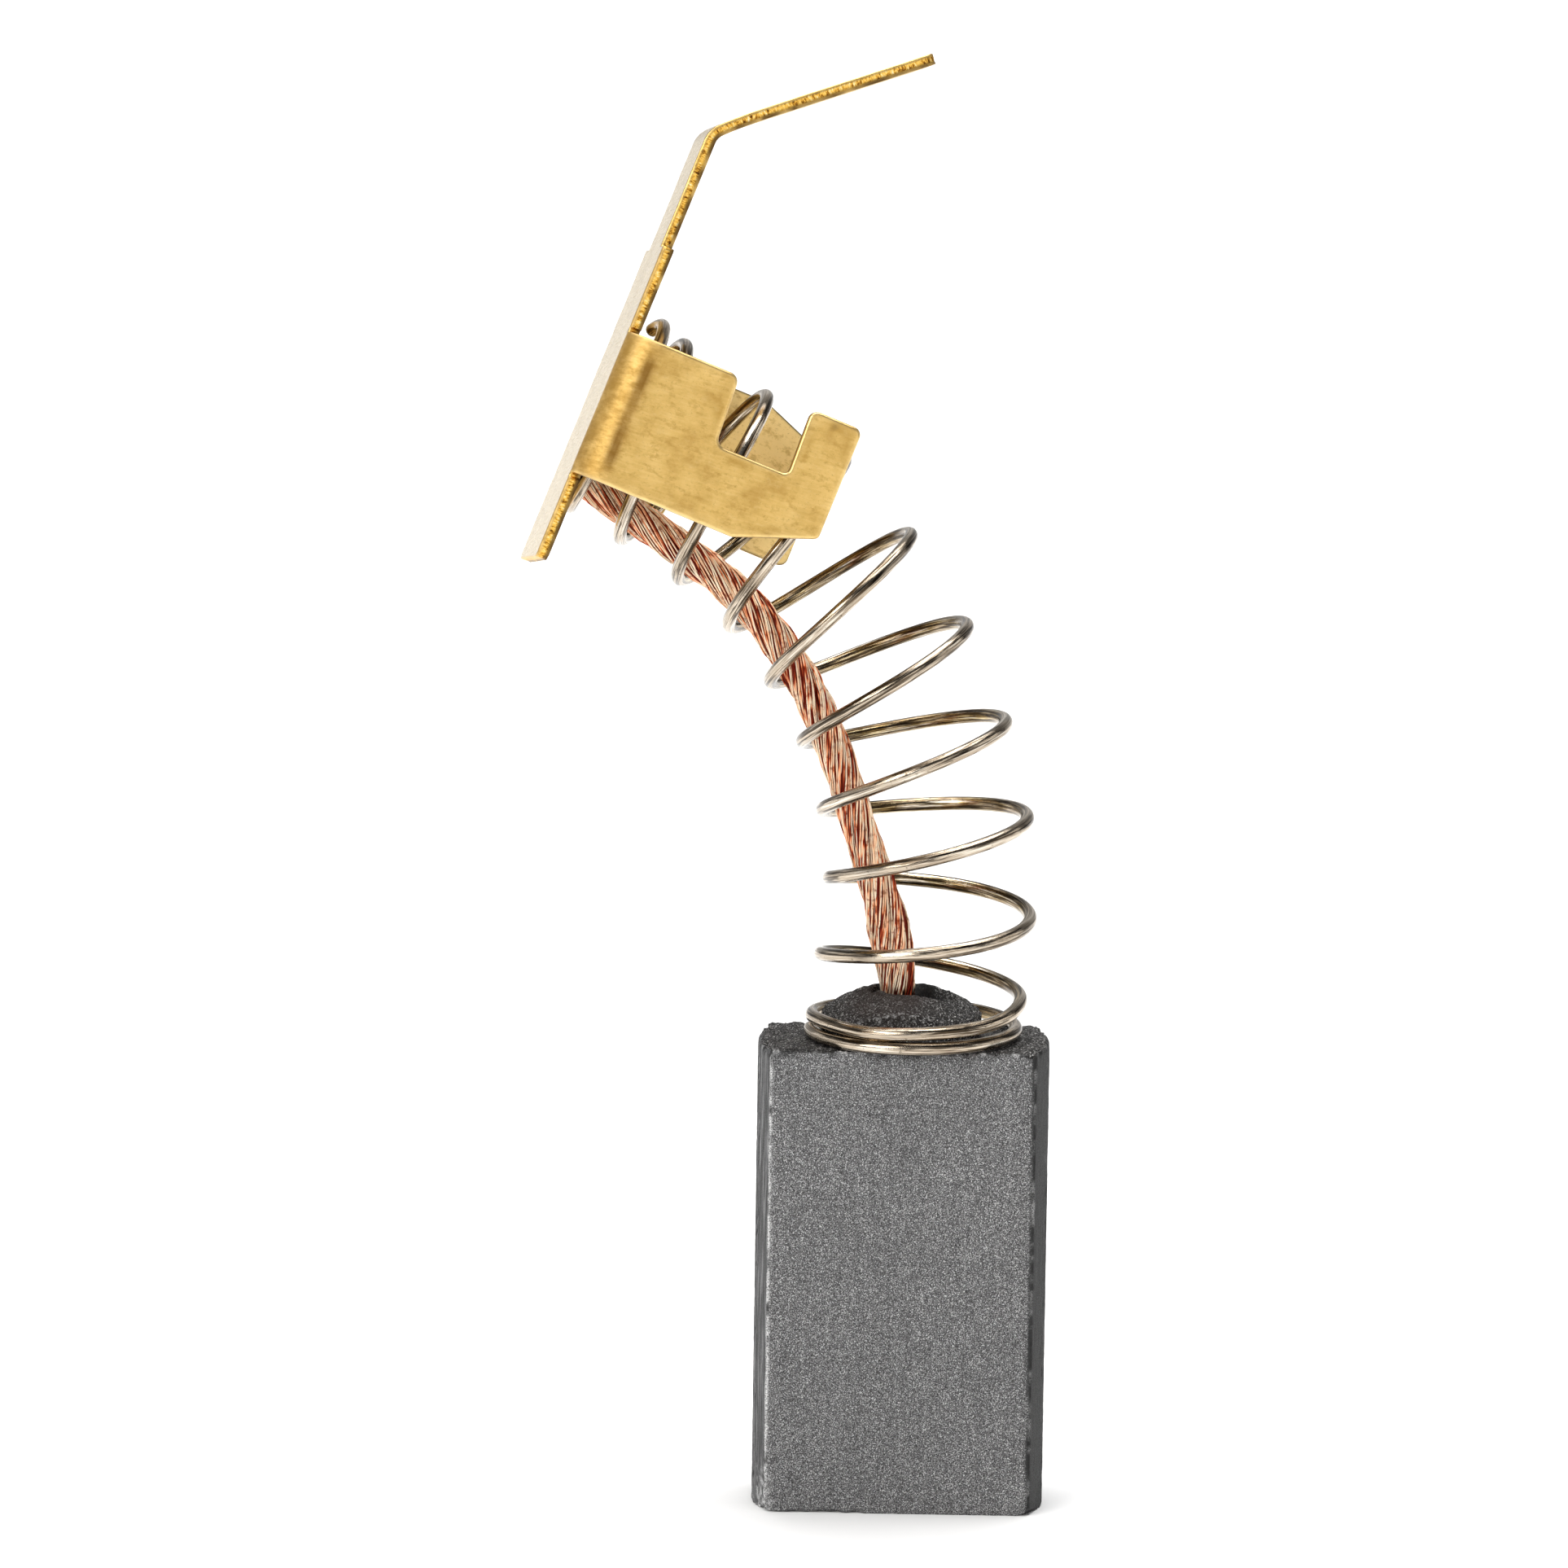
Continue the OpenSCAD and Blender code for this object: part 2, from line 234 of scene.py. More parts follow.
def carbon_material():
    m = Mat("carbon_graphite")
    co = m.coords()
    raw = m.attr("raw").outputs["Fac"]  # 1 on the as-moulded top and boss, 0 on ground faces
    side = m.attr("side").outputs["Fac"]  # 1 on the bevels and the narrow sides
    wear_and_edge_highlight = m.attr("wear_and_edge_highlight").outputs["Fac"]  # 1 along rubbed edges, and on the front left edge as a painted highlight
    pit_shade = m.attr("pit_shade").outputs["Fac"]  # 1 in chips, pits and the crater, painted near black as shade
    stain = m.attr("stain").outputs["Fac"]  # brownish tint round the crater
    fine = m.noise(co, 31000.0, 1.0, 0.6)
    fine2 = m.noise(co, 22000.0, 2.0, 0.7)
    grain = m.noise(co, 14000.0, 3.0, 0.85)
    cloud = m.noise(co, 300.0, 3.0, 0.6)
    # fine light and dark speckle of the ground faces
    speck = m.math("ADD", m.math("MULTIPLY", fine, 0.60), m.math("MULTIPLY", fine2, 0.40))
    speck = m.math("ADD", m.math("MULTIPLY", speck, 0.94), m.math("MULTIPLY", m.noise(m.scaled(co, (1.0, 1.0, 0.06)), 9500.0, 2.0, 0.6), 0.06))
    ground = m.ramp(speck, [(0.38, (0.006, 0.006, 0.0062)), (0.46, (0.066, 0.066, 0.068)), (0.52, (0.124, 0.124, 0.126)), (0.57, (0.215, 0.215, 0.217)), (0.63, (0.66, 0.66, 0.66))])
    rough_col = m.ramp(grain, [(0.42, (0.0005, 0.0005, 0.0005)), (0.49, (0.0070, 0.0062, 0.0058)), (0.54, (0.034, 0.032, 0.031)), (0.585, (0.125, 0.121, 0.117)), (0.63, (0.75, 0.74, 0.73))])
    # pressed-in drawing lines run up and down the sides
    lines = m.noise(m.scaled(co, (1.0, 1.0, 0.05)), 9000.0, 2.0, 0.6)
    side_sp = m.math("ADD", m.math("MULTIPLY", lines, 0.82), m.math("MULTIPLY", fine2, 0.18))
    side_col = m.ramp(side_sp, [(0.41, (0.010, 0.010, 0.0102)), (0.47, (0.038, 0.038, 0.039)), (0.53, (0.072, 0.072, 0.074)), (0.58, (0.125, 0.125, 0.127)), (0.64, (0.24, 0.24, 0.242))])
    # painted shade: the sides and bevels are darkened towards the right end, away from the key light
    side_col = m.mix(m.attr("right_side_shade").outputs["Fac"], side_col, m.mix(0.94, side_col, (0.0015, 0.0015, 0.0015)))
    shade = m.ramp(cloud, [(0.3, 0.93), (0.7, 1.05)])
    col = m.mix(side, ground, side_col)
    col = m.mix(raw, col, rough_col)
    col = m.mix(1.0, col, shade, "MULTIPLY")
    tint = m.mix(0.82, rough_col, (0.019, 0.0088, 0.0062))
    col = m.mix(stain, col, tint)
    # near white along rubbed edges, and a painted highlight along the front left edge
    col = m.mix(m.math("MULTIPLY", wear_and_edge_highlight, m.ramp(fine2, [(0.42, 0.10), (0.51, 1.0)])), col, (0.95, 0.95, 0.95))
    # painted shade: pits, chips and the crater are painted near black
    col = m.mix(m.math("MULTIPLY", pit_shade, 0.93), col, (0.0022, 0.0020, 0.0020))
    h1 = m.math("MULTIPLY", fine2, 1.0)
    h2 = m.math("MULTIPLY", m.math("MULTIPLY", grain, raw), 4.0)
    hl = m.math("MULTIPLY", m.math("MULTIPLY", lines, side), 1.2)
    h = m.math("ADD", m.math("ADD", h1, h2), hl)
    m.set(
        Base_Color=col,
        Roughness=m.ramp(fine, [(0.3, 0.50), (0.7, 0.78)]),
        Normal=m.bump(h, 0.9, 0.00002),
    )
    m.b.inputs["Specular IOR Level"].default_value = 0.42
    return m.m


def steel_material():
    m = Mat("drawn_spring_wire")
    tube = m.attr("tube").outputs["Vector"]  # (round the wire, along the wire, round the wire)
    inner = m.attr("inner").outputs["Fac"]  # 1 on the side that faces the coil's middle
    scuff = m.attr("scuff").outputs["Fac"]
    drawn = m.noise(m.scaled(tube, (7.0, 0.42, 7.0)), 1.0, 3.0, 0.7)
    streak = m.noise(m.scaled(tube, (2.2, 0.36, 2.2)), 1.0, 3.0, 0.6, 0.2)
    mott = m.noise(m.scaled(tube, (0.8, 0.9, 0.8)), 1.0, 3.0, 0.6)
    speck = m.noise(m.coords(), 5600.0, 2.0, 0.6)
    base = m.ramp(drawn, [(0.35, (0.13, 0.095, 0.062)), (0.44, (0.40, 0.325, 0.24)), (0.54, (0.56, 0.47, 0.365)), (0.66, (0.82, 0.73, 0.61))])
    # painted reflection: the side facing the coil's middle is tinted golden brown, standing for the warm reflection
    # seen on the back passes
    gold = m.ramp(drawn, [(0.38, (0.012, 0.006, 0.002)), (0.48, (0.12, 0.070, 0.022)), (0.56, (0.40, 0.275, 0.115)), (0.66, (0.90, 0.78, 0.50))])
    col = m.mix(m.math("MULTIPLY", inner, m.ramp(mott, [(0.35, 0.45), (0.6, 1.0)])), base, gold)
    # long dark streaks left by the drawing die
    col = m.mix(m.ramp(streak, [(0.37, 0.93), (0.43, 0.72), (0.475, 0.0)]), col, (0.034, 0.021, 0.010))
    col = m.mix(m.ramp(streak, [(0.60, 0.0), (0.66, 0.75)]), col, (0.92, 0.85, 0.74))
    col = m.mix(m.ramp(speck, [(0.64, 0.0), (0.72, 0.6)]), col, (0.09, 0.065, 0.04))
    # painted dark reflection: front passes just past the rope crossing are darkened on the side facing the camera
    col = m.mix(m.attr("painted_dark_reflection").outputs["Fac"], col, (0.055, 0.052, 0.050))
    col = m.mix(scuff, col, (0.42, 0.39, 0.35))
    m.set(
        Base_Color=col,
        Roughness=m.math("ADD", m.ramp(mott, [(0.3, 0.11), (0.7, 0.21)]), m.math("MULTIPLY", scuff, 0.3)),
        Normal=m.bump(m.math("ADD", drawn, streak), 0.7, 0.00001),
    )
    m.b.inputs["Metallic"].default_value = 1.0
    return m.m


def copper_material():
    m = Mat("bare_copper_wire")
    co = m.coords()
    tone = m.attr("tone").outputs["Fac"]  # each wire's own shade
    depth_shade = m.attr("depth_shade").outputs["Fac"]  # 1 on wires that lie inside, darkened there as painted shade
    foot_shade = m.attr("foot_shade").outputs["Fac"]  # painted shade where the wires go down into the crater
    n = m.noise(co, 4200.0, 3.0, 0.6)
    base = m.ramp(tone, [(0.0, (0.17, 0.009, 0.004)), (0.18, (0.50, 0.085, 0.030)), (0.34, (0.95, 0.38, 0.18)), (0.50, (1.0, 0.58, 0.35)), (0.72, (1.0, 0.71, 0.47)), (0.94, (1.0, 0.86, 0.66))])
    tarn = m.ramp(n, [(0.34, (0.40, 0.15, 0.09)), (0.44, (0.96, 0.88, 0.84)), (0.55, (1.0, 1.0, 1.0))])
    col = m.mix(0.75, base, tarn, "MULTIPLY")
    # painted shade on the wires that lie inside the rope
    col = m.mix(depth_shade, col, (0.13, 0.008, 0.003))
    # painted shade: the wires turn near black where they go down into the crater
    col = m.mix(foot_shade, col, (0.010, 0.005, 0.004))
    m.set(
        Base_Color=col,
        Roughness=m.math("ADD", m.ramp(n, [(0.3, 0.50), (0.7, 0.34)]), m.math("MULTIPLY", foot_shade, 0.5)),
        Metallic=m.math("SUBTRACT", 0.46, m.math("MAXIMUM", m.math("MULTIPLY", foot_shade, 0.4), m.math("MULTIPLY", depth_shade, 0.4))),
        Normal=m.bump(m.noise(co, 9000.0, 2.0, 0.5), 0.35, 0.000006),
    )
    m.b.inputs["Specular Tint"].default_value = (0.95, 0.46, 0.28, 1)
    return m.m


def brass_material():
    m = Mat("rolled_brass")
    flat = m.attr("flat").outputs["Vector"]  # place on the flat sheet, mm
    edge = m.attr("edge").outputs["Fac"]  # 1 on the sheared edge faces
    rim = m.attr("rim").outputs["Fac"]  # 1 next to an edge, rolled over by the shears
    fold = m.attr("fold").outputs["Fac"]  # 1 in the coined line at a fold, darkened there as a painted dark reflection
    spot = m.attr("spot").outputs["Fac"]
    back = m.attr("back").outputs["Fac"]  # 1 on the plate's smooth outer face, paled there as a painted highlight
    burr = m.attr("burr").outputs["Fac"]  # 1 on the torn lower side of a sheared edge
    turned = m.scaled(flat, (1.0, 1.0, 1.0), (0, 0, 0.10))
    brush = m.noise(m.scaled(turned, (0.45, 5.0, 1.0)), 2.2, 4.0, 0.65)
    brush2 = m.noise(m.scaled(turned, (1.1, 8.0, 1.0)), 3.0, 3.0, 0.6)
    cloud = m.noise(flat, 0.8, 4.0, 0.6)
    mott = m.noise(m.scaled(turned, (0.6, 1.0, 1.0)), 3.4, 4.0, 0.7)
    grit = m.noise(flat, 11.0, 2.0, 0.7)
    base = m.ramp(brush, [(0.30, (0.69, 0.455, 0.145)), (0.5, (0.715, 0.478, 0.158)), (0.70, (0.75, 0.515, 0.185))])
    tint = m.ramp(cloud, [(0.36, (0.76, 0.70, 0.58)), (0.50, (0.96, 0.95, 0.92)), (0.64, (1.06, 1.08, 1.14))])
    col = m.mix(0.85, base, tint, "MULTIPLY")
    inside = m.attr("inside").outputs["Fac"]  # 1 on the sheet's inner face, lightened there as painted light
    # painted light: the ears' inner faces are lightened against the shade between the ears
    col = m.mix(m.math("MULTIPLY", inside, 0.8), col, (0.96, 0.73, 0.33))
    col = m.mix(m.ramp(mott, [(0.34, 0.60), (0.48, 0.0)]), col, (0.48, 0.285, 0.070))
    col = m.mix(m.math("MULTIPLY", m.attr("arc").outputs["Fac"], m.ramp(mott, [(0.42, 0.45), (0.60, 0.0)])), col, (0.38, 0.215, 0.045))
    col = m.mix(m.ramp(mott, [(0.56, 0.0), (0.74, 0.22)]), col, (0.86, 0.66, 0.32))
    col = m.mix(m.math("MULTIPLY", m.attr("halo").outputs["Fac"], 0.75), col, (0.46, 0.27, 0.06))
    col = m.mix(m.ramp(grit, [(0.60, 0.0), (0.72, 0.55)]), col, (0.42, 0.26, 0.075))
    # sheared faces: bright gold with dark scores across the thickness
    score = m.noise(m.scaled(flat, (1.0, 1.0, 0.12)), 10.0, 3.0, 0.75)
    cut = m.ramp(score, [(0.33, (0.06, 0.018, 0.004)), (0.42, (0.42, 0.185, 0.022)), (0.49, (0.80, 0.45, 0.07)), (0.58, (0.92, 0.60, 0.14)), (0.68, (1.0, 0.84, 0.46))])
    col = m.mix(edge, col, cut)
    col = m.mix(m.math("MULTIPLY", rim, 0.6), col, (0.93, 0.74, 0.38))
    col = m.mix(m.math("MULTIPLY", burr, 0.95), col, (0.075, 0.038, 0.013))
    # painted highlight: the plate's outer face is paled towards near-white brass
    col = m.mix(m.math("MULTIPLY", back, 0.78), col, (0.86, 0.73, 0.50))
    col = m.mix(m.math("MULTIPLY", back, m.ramp(m.noise(flat, 5.5, 3.0, 0.7), [(0.60, 0.0), (0.66, 0.5)])), col, (0.34, 0.28, 0.20))
    # painted dark reflection along the coined line at each fold
    col = m.mix(m.math("MULTIPLY", fold, 0.95), col, (0.20, 0.090, 0.012))
    col = m.mix(m.math("MULTIPLY", spot, 0.9), col, (0.05, 0.03, 0.02))
    h = m.math("ADD", m.math("ADD", m.math("MULTIPLY", brush2, 0.45), m.math("MULTIPLY", mott, 0.9)), m.math("MULTIPLY", m.math("MULTIPLY", score, edge), 3.0))
    h = m.math("MULTIPLY", h, m.math("SUBTRACT", 1.0, m.math("MULTIPLY", back, 0.75)))
    m.set(
        Base_Color=col,
        Roughness=m.math("ADD", m.math("SUBTRACT", m.ramp(brush, [(0.3, 0.43), (0.7, 0.37)]), m.math("MULTIPLY", back, 0.13)), m.math("MULTIPLY", m.attr("arc").outputs["Fac"], 0.20)),
        Normal=m.bump(h, 0.5, 0.000008),
    )
    m.b.inputs["Metallic"].default_value = 1.0
    return m.m


def floor_material():
    m = Mat("studio_floor")
    n = m.noise(m.coords(), 30.0, 3.0, 0.5)
    m.set(Base_Color=m.ramp(n, [(0.3, (0.90, 0.90, 0.90)), (0.7, (0.92, 0.92, 0.92))]), Roughness=m.ramp(n, [(0.3, 0.68), (0.7, 0.74)]))
    m.b.inputs["Specular IOR Level"].default_value = 0.2
    return m.m


# --------------------------------------------------------------------------
# camera: the photograph's viewing angle
# --------------------------------------------------------------------------
E, DIST, S_PX, C_PX, ROLL = math.radians(13.0), 600.0, 35.6, (1101.0, 1839.8), math.radians(0.95)
f_px = S_PX * DIST
right = A([1.0, 0, 0])
up = A([0, math.sin(E), math.cos(E)])
fwd = A([0, math.cos(E), -math.sin(E)])
eye = -fwd * DIST
c, s = math.cos(ROLL), math.sin(ROLL)
dx, dy = 963 - C_PX[0], 963 - C_PX[1]
X, Y = c * dx + s * dy, -s * dx + c * dy
view_dir = unit(fwd + right * X / f_px - up * Y / f_px)
screen_up = -s * right + c * up
zc = -view_dir
yc = unit(screen_up - zc * (screen_up @ zc))
xc = np.cross(yc, zc)
cam_data = bpy.data.cameras.new("camera")
cam = bpy.data.objects.new("camera", cam_data)
scene.collection.objects.link(cam)
cam.matrix_world = Matrix([[xc[i], yc[i], zc[i], eye[i] * MM] for i in range(3)] + [[0, 0, 0, 1]])
cam_data.sensor_fit = "HORIZONTAL"
cam_data.sensor_width = 36.0
cam_data.lens = f_px / 1926 * 36.0
cam_data.clip_start, cam_data.clip_end = 0.05, 20.0
scene.camera = cam

# --------------------------------------------------------------------------
# carbon block
# --------------------------------------------------------------------------


def build_block():
    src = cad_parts["carbon_block"]
    co = A([v.co[:] for v in src.data.vertices]) * 1000.0
    tris = [tuple(p.vertices) for p in src.data.polygons]
    tmp = bpy.data.meshes.new("tmp")
    tmp.from_pydata(co.tolist(), [], tris)
    o = bpy.data.objects.new("tmp", tmp)
    scene.collection.objects.link(o)
    w = o.modifiers.new("weld", "WELD")
    w.merge_threshold = 0.0005
    r = o.modifiers.new("remesh", "REMESH")
    r.mode = "VOXEL"
    r.voxel_size = 0.088
    r.adaptivity = 0.0
    dg = bpy.context.evaluated_depsgraph_get()
    em = o.evaluated_get(dg).to_mesh()
    v = A([q.co[:] for q in em.vertices])
    nrm = A([q.normal[:] for q in em.vertices])
    faces = [tuple(p.vertices) for p in em.polygons]
    o.evaluated_get(dg).to_mesh_clear()
    bpy.data.objects.remove(o)
    bpy.data.meshes.remove(tmp)

    na, nb, nc = Noise(11), Noise(12), Noise(13)
    H, W2, D2 = 16.2, 5.0, 2.5
    x, y, z = v.T
    top = smooth((z - (H - 0.06)) / 0.05)
    # how far each point is inside the sharp outline, for edge wear
    dx_, dy_ = W2 - np.abs(x), D2 - np.abs(y)
    bx, by = 0.45, 1.6
    # distance to the bevel plane, positive inside
    nb_ = A([by, bx]) / math.hypot(by, bx)
    db = ((W2 - np.abs(x)) * nb_[0] + (D2 - np.abs(y)) * nb_[1]) - by * bx / math.hypot(by, bx)
    body = z < H + 0.05
    n1 = na.fbm(v, 1.1, 3)
    n2 = nb.fbm(v, 3.0, 3)
    n3 = nc.fbm(v, 6.5, 2)
    # general relief
    amp = np.where(body & (top < 0.5), 0.006, 0.022)
    disp = -amp * (0.5 + 0.8 * n3) - 0.004 * n2

    # edge wear: the outline's front and back corner lines, top and bottom rims
    def wear(d1, d2, reach, depth, freq, seed, thr):
        """Pulls points in where two faces meet, in patches."""
        m = np.exp(-((np.maximum(d1, 0) / reach) ** 2)) * np.exp(-((np.maximum(d2, 0) / reach) ** 2))
        k = Noise(seed).fbm(A([x * freq, y * freq, z * freq]).T, 1.0, 3)
        return m * np.clip(k - thr, 0, 1.2) * depth

    e_front = wear(dy_, db, 0.11, 0.10, 3.4, 21, 0.15)
    e_side = wear(dx_, db, 0.12, 0.07, 2.6, 22, 0.2)
    e_top = wear(H - z, np.minimum(dy_, np.minimum(dx_, db)), 0.17, 0.30, 3.0, 23, -0.05) * body
    e_bot = wear(z, np.minimum(dy_, np.minimum(dx_, db)), 0.16, 0.26, 1.3, 24, 0.05)
    disp = disp - e_front - e_side - e_top - e_bot
    # crumbly lower left corner and a chip out of the lower right front corner
    q = A([x + 4.75, y + 2.2, z]).T
    crumb = np.exp(-((q / A([0.35, 0.5, 0.55])) ** 2).sum(1)) * (0.05 + 0.13 * np.clip(n2, 0, 1))
    q = A([x - 4.6, y + 2.3, z]).T
    lim = 0.56 + 0.12 * n1
    dist_chip = (x - 4.6) * 0.62 + (-2.5 - y) * 0.35 - z * 0.70
    chip = np.clip(dist_chip + lim * 0.42, 0, 0.5) * (np.abs(x - 4.5) < 1.2) * (y < -0.6) * (z < 1.2)
    push = A([-0.62, 0.35, 0.70])
    disp = disp - crumb
    # three pits and a faint diagonal scratch on the front face
    front = smooth((-y - 2.40) / 0.06)
    pit_shade = np.zeros(len(v))
    for px, pz, r_, dep in (
        (1.88, 11.55, 0.085, 0.05),
        (2.83, 11.5, 0.07, 0.04),
        (-0.32, 3.1, 0.075, 0.045),
        (-3.3, 13.2, 0.05, 0.03),
        (3.6, 6.0, 0.05, 0.03),
        (-2.1, 7.4, 0.045, 0.03),
        (0.9, 14.3, 0.05, 0.03),
    ):
        g = np.exp(-(((x - px) ** 2 + (z - pz) ** 2) / r_**2)) * front
        pit_shade = np.maximum(pit_shade, g)
        disp = disp - g * dep
    a_, b_ = A([1.42, 6.75]), A([2.22, 7.35])
    ab = b_ - a_
    tt = np.clip(((x - a_[0]) * ab[0] + (z - a_[1]) * ab[1]) / (ab @ ab), 0, 1)
    ds = np.hypot(x - a_[0] - tt * ab[0], z - a_[1] - tt * ab[1])
    scr = np.exp(-((ds / 0.05) ** 2)) * front * (0.6 + 0.4 * n2)
    disp = disp - 0.012 * np.clip(scr, 0, 1)
    # the boss and crater are coarse
    boss = (np.hypot(x, y) < 3.0) & (z > H + 0.03)
    n4 = Noise(14).fbm(v, 8.5, 2)
    disp = disp - boss * (0.035 * (0.5 + 0.5 * n2) + 0.045 * np.clip(n4, -0.6, 1.0)) - top * ~boss * 0.03 * np.clip(n4, -0.5, 1.0)
    hole = (np.hypot(x + 0.2, y - 0.25) < 0.75) & (z < H + 0.9)
    disp = np.where(hole, 0.0, disp)
    v2 = v + nrm * disp[:, None] + push * (chip * ~hole)[:, None]
    # the top corners at both ends are rubbed round
    rc = 0.34 + 0.10 * nb.fbm(v, 1.7, 2)
    ax_, az_ = np.abs(v2[:, 0]) - (W2 - rc), v2[:, 2] - (H - rc)
    ln = np.hypot(ax_, az_)
    out_ = (ax_ > 0) & (az_ > 0) & (ln > rc) & (z < H + 0.05)
    k_ = np.where(out_, rc / np.maximum(ln, 1e-6), 1.0)
    v2[:, 0] = np.where(out_, np.sign(v2[:, 0]) * (W2 - rc + ax_ * k_), v2[:, 0])
    v2[:, 2] = np.where(out_, H - rc + az_ * k_, v2[:, 2])
    v2[:, 2] = np.where(z < 0.02, np.maximum(v2[:, 2], 0), v2[:, 2])
    v2[:, 2] = np.maximum(v2[:, 2], 0)

    # masks for the material
    raw = np.clip(top + boss, 0, 1)
    fr = np.clip(np.abs(nrm[:, 1]) - 0.9, 0, 0.08) / 0.08
    side = (1 - fr) * (1 - raw) * (z > 0.05)
    # the right front edge is rubbed back further than the left one
    side = np.maximum(side, smooth((x - 4.36 - 0.05 * Noise(35).fbm(A([z * 1.1, z * 0, z * 0]).T, 1.0, 2)) / 0.13) * (1 - raw) * (y < 0))
    wear_and_edge_highlight = np.zeros(len(v))
    ridge = np.exp(-(np.maximum(dy_, 0) / 0.078) ** 2) * np.exp(-(np.maximum(db, 0) / 0.066) ** 2)
    patch = Noise(31).fbm(A([x * 0.4, y * 0.4, z * 1.3]).T, 1.6, 3)
    # the front left edge gets a bright line, a painted highlight; the right edge only faint wear
    wear_and_edge_highlight = ridge * np.where(x < 0, np.clip(1.0 + 0.7 * patch + 0.7 * Noise(36).fbm(A([x * 0.5, y * 0.5, z * 4.0]).T, 1.0, 2), 0, 1), np.clip(0.5 * patch, 0, 0.5)) * (1 - raw)
    rim = np.exp(-(np.maximum(H - z, 0) / 0.10) ** 2) * np.exp(-(np.maximum(dy_, 0) / 0.10) ** 2) * body
    wear_and_edge_highlight = np.maximum(wear_and_edge_highlight, rim * np.clip(1.1 * Noise(32).fbm(A([x, y, z]).T, 3.4, 3), 0, 0.8))
    lip = np.exp(-(((y + 2.20) / 0.06) ** 2)) * boss * (z > H + 0.35) * (np.abs(x + 0.2) < 1.5)
    wear_and_edge_highlight = np.maximum(wear_and_edge_highlight, lip * np.clip(-0.35 + 1.5 * Noise(34).fbm(A([x, y, z]).T, 13.0, 2), 0, 0.7))
    lowl = np.exp(-(((x + 4.6) / 0.3) ** 2 + (z / 1.1) ** 2)) * np.clip(0.25 + 1.5 * Noise(33).fbm(A([x, y, z]).T, 5.0, 2), 0, 1)
    wear_and_edge_highlight = np.clip(np.maximum(wear_and_edge_highlight, lowl), 0, 1)
    bowl = (np.hypot(x - 0.12, y - 0.1) < 1.06) & (z > H + 0.3)
    # painted shade: the crater's inside is painted near black, and the pits and chips are darkened
    recess_shade = np.clip(pit_shade * 0.8 + smooth(chip / 0.06) * 0.8 * np.clip(0.8 + 0.8 * n3, 0, 1) + 1.0 * bowl, 0, 1)
    rr = np.hypot(x - 0.2, y + 0.3)
    rr = np.hypot(x + 0.45, y + 0.9)
    # painted shade round the crater's mouth, which is also dented deeper there, and crumbs knocked out of the front
    # face's top rim
    crater_mouth_shade = np.maximum(1 - ((x - 0.90) / 0.95) ** 2 - ((y + 0.12) / 0.92) ** 2, 1 - ((x + 0.80) / 0.42) ** 2 - ((y + 0.10) / 0.55) ** 2)
    crater_mouth_shade = smooth((crater_mouth_shade + 0.35 * n3) / 0.4) * (z > H + 0.3)
    knocked = np.exp(-(np.maximum(H - z, 0) / 0.20) ** 2) * smooth((-y - 2.2) / 0.2) * body * smooth(Noise(37).fbm(A([x * 2.3, y * 2.3, z * 2.3]).T, 1.8, 2) / 0.22)
    recess_shade = np.clip(np.maximum(np.maximum(recess_shade, crater_mouth_shade), 0.75 * knocked), 0, 1)
    v2[:, 2] -= 0.55 * crater_mouth_shade * ~hole * smooth((z - H - 0.45) / 0.5) + 0.05 * knocked * (z < H + 0.05)
    stain = smooth((2.15 - rr) / 1.3) * (z > H + 0.6) * np.clip(0.75 + 0.5 * n1, 0, 0.95)
    return mesh_object("block_body", v2, faces, {"raw": raw, "side": side, "wear_and_edge_highlight": wear_and_edge_highlight, "pit_shade": recess_shade, "stain": stain, "right_side_shade": smooth((x - 1.0) / 2.0)})


# --------------------------------------------------------------------------
# spring
# --------------------------------------------------------------------------
COIL_MID = A([
    [0.3, 0.25, 16.47], [0.3, 0.25, 16.42], [0.3, 0.25, 16.52], [0.6, 0.3, 18.7],
    [0.95, 0.45, 22.0], [0.5, 0.65, 24.7], [-0.35, 0.9, 27.55], [-1.8, 1.2, 30.15],
    [-3.6, 1.5, 32.55], [-5.65, 1.75, 34.4], [-8.25, 1.95, 36.1], [-10.53, 2.0, 37.33],
    [-10.55, 1.95, 37.8], [-9.28, 1.9, 37.93],
])
COIL_LEAN = A([
    [0, 0], [0, 0], [0, 0], [0.08, 0.03],
    [-0.07, 0.07], [-0.22, 0.16], [-0.35, 0.14], [-0.54, 0.17],
    [-0.68, 0.18], [-0.77, 0.16], [-0.87, 0.1], [-0.93, -0.03],
    [-0.74, -0.13], [-0.69, -0.22],
])
TURNS = 10.6


def coil(t):
    mid = spline(COIL_MID, t)
    q = spline(COIL_LEAN, t)
    k = unit(np.column_stack([q, np.sqrt(np.maximum(0.05, 1 - (q**2).sum(1)))]))
    b = unit(A([0, 1.0, 0]) - k * k[:, 1:2])
    n = np.cross(b, k)
    r = 3.52 + (3.4 - 3.52) * smooth((t - 1.5) / 3.5)
    a = 2 * math.pi * t
    c_ = mid - r[:, None] * (np.cos(a)[:, None] * n + np.sin(a)[:, None] * b)
    c_[:, 2] -= 0.28 * np.exp(-(((t - 1.28) / 0.17) ** 4))
    return mid, c_


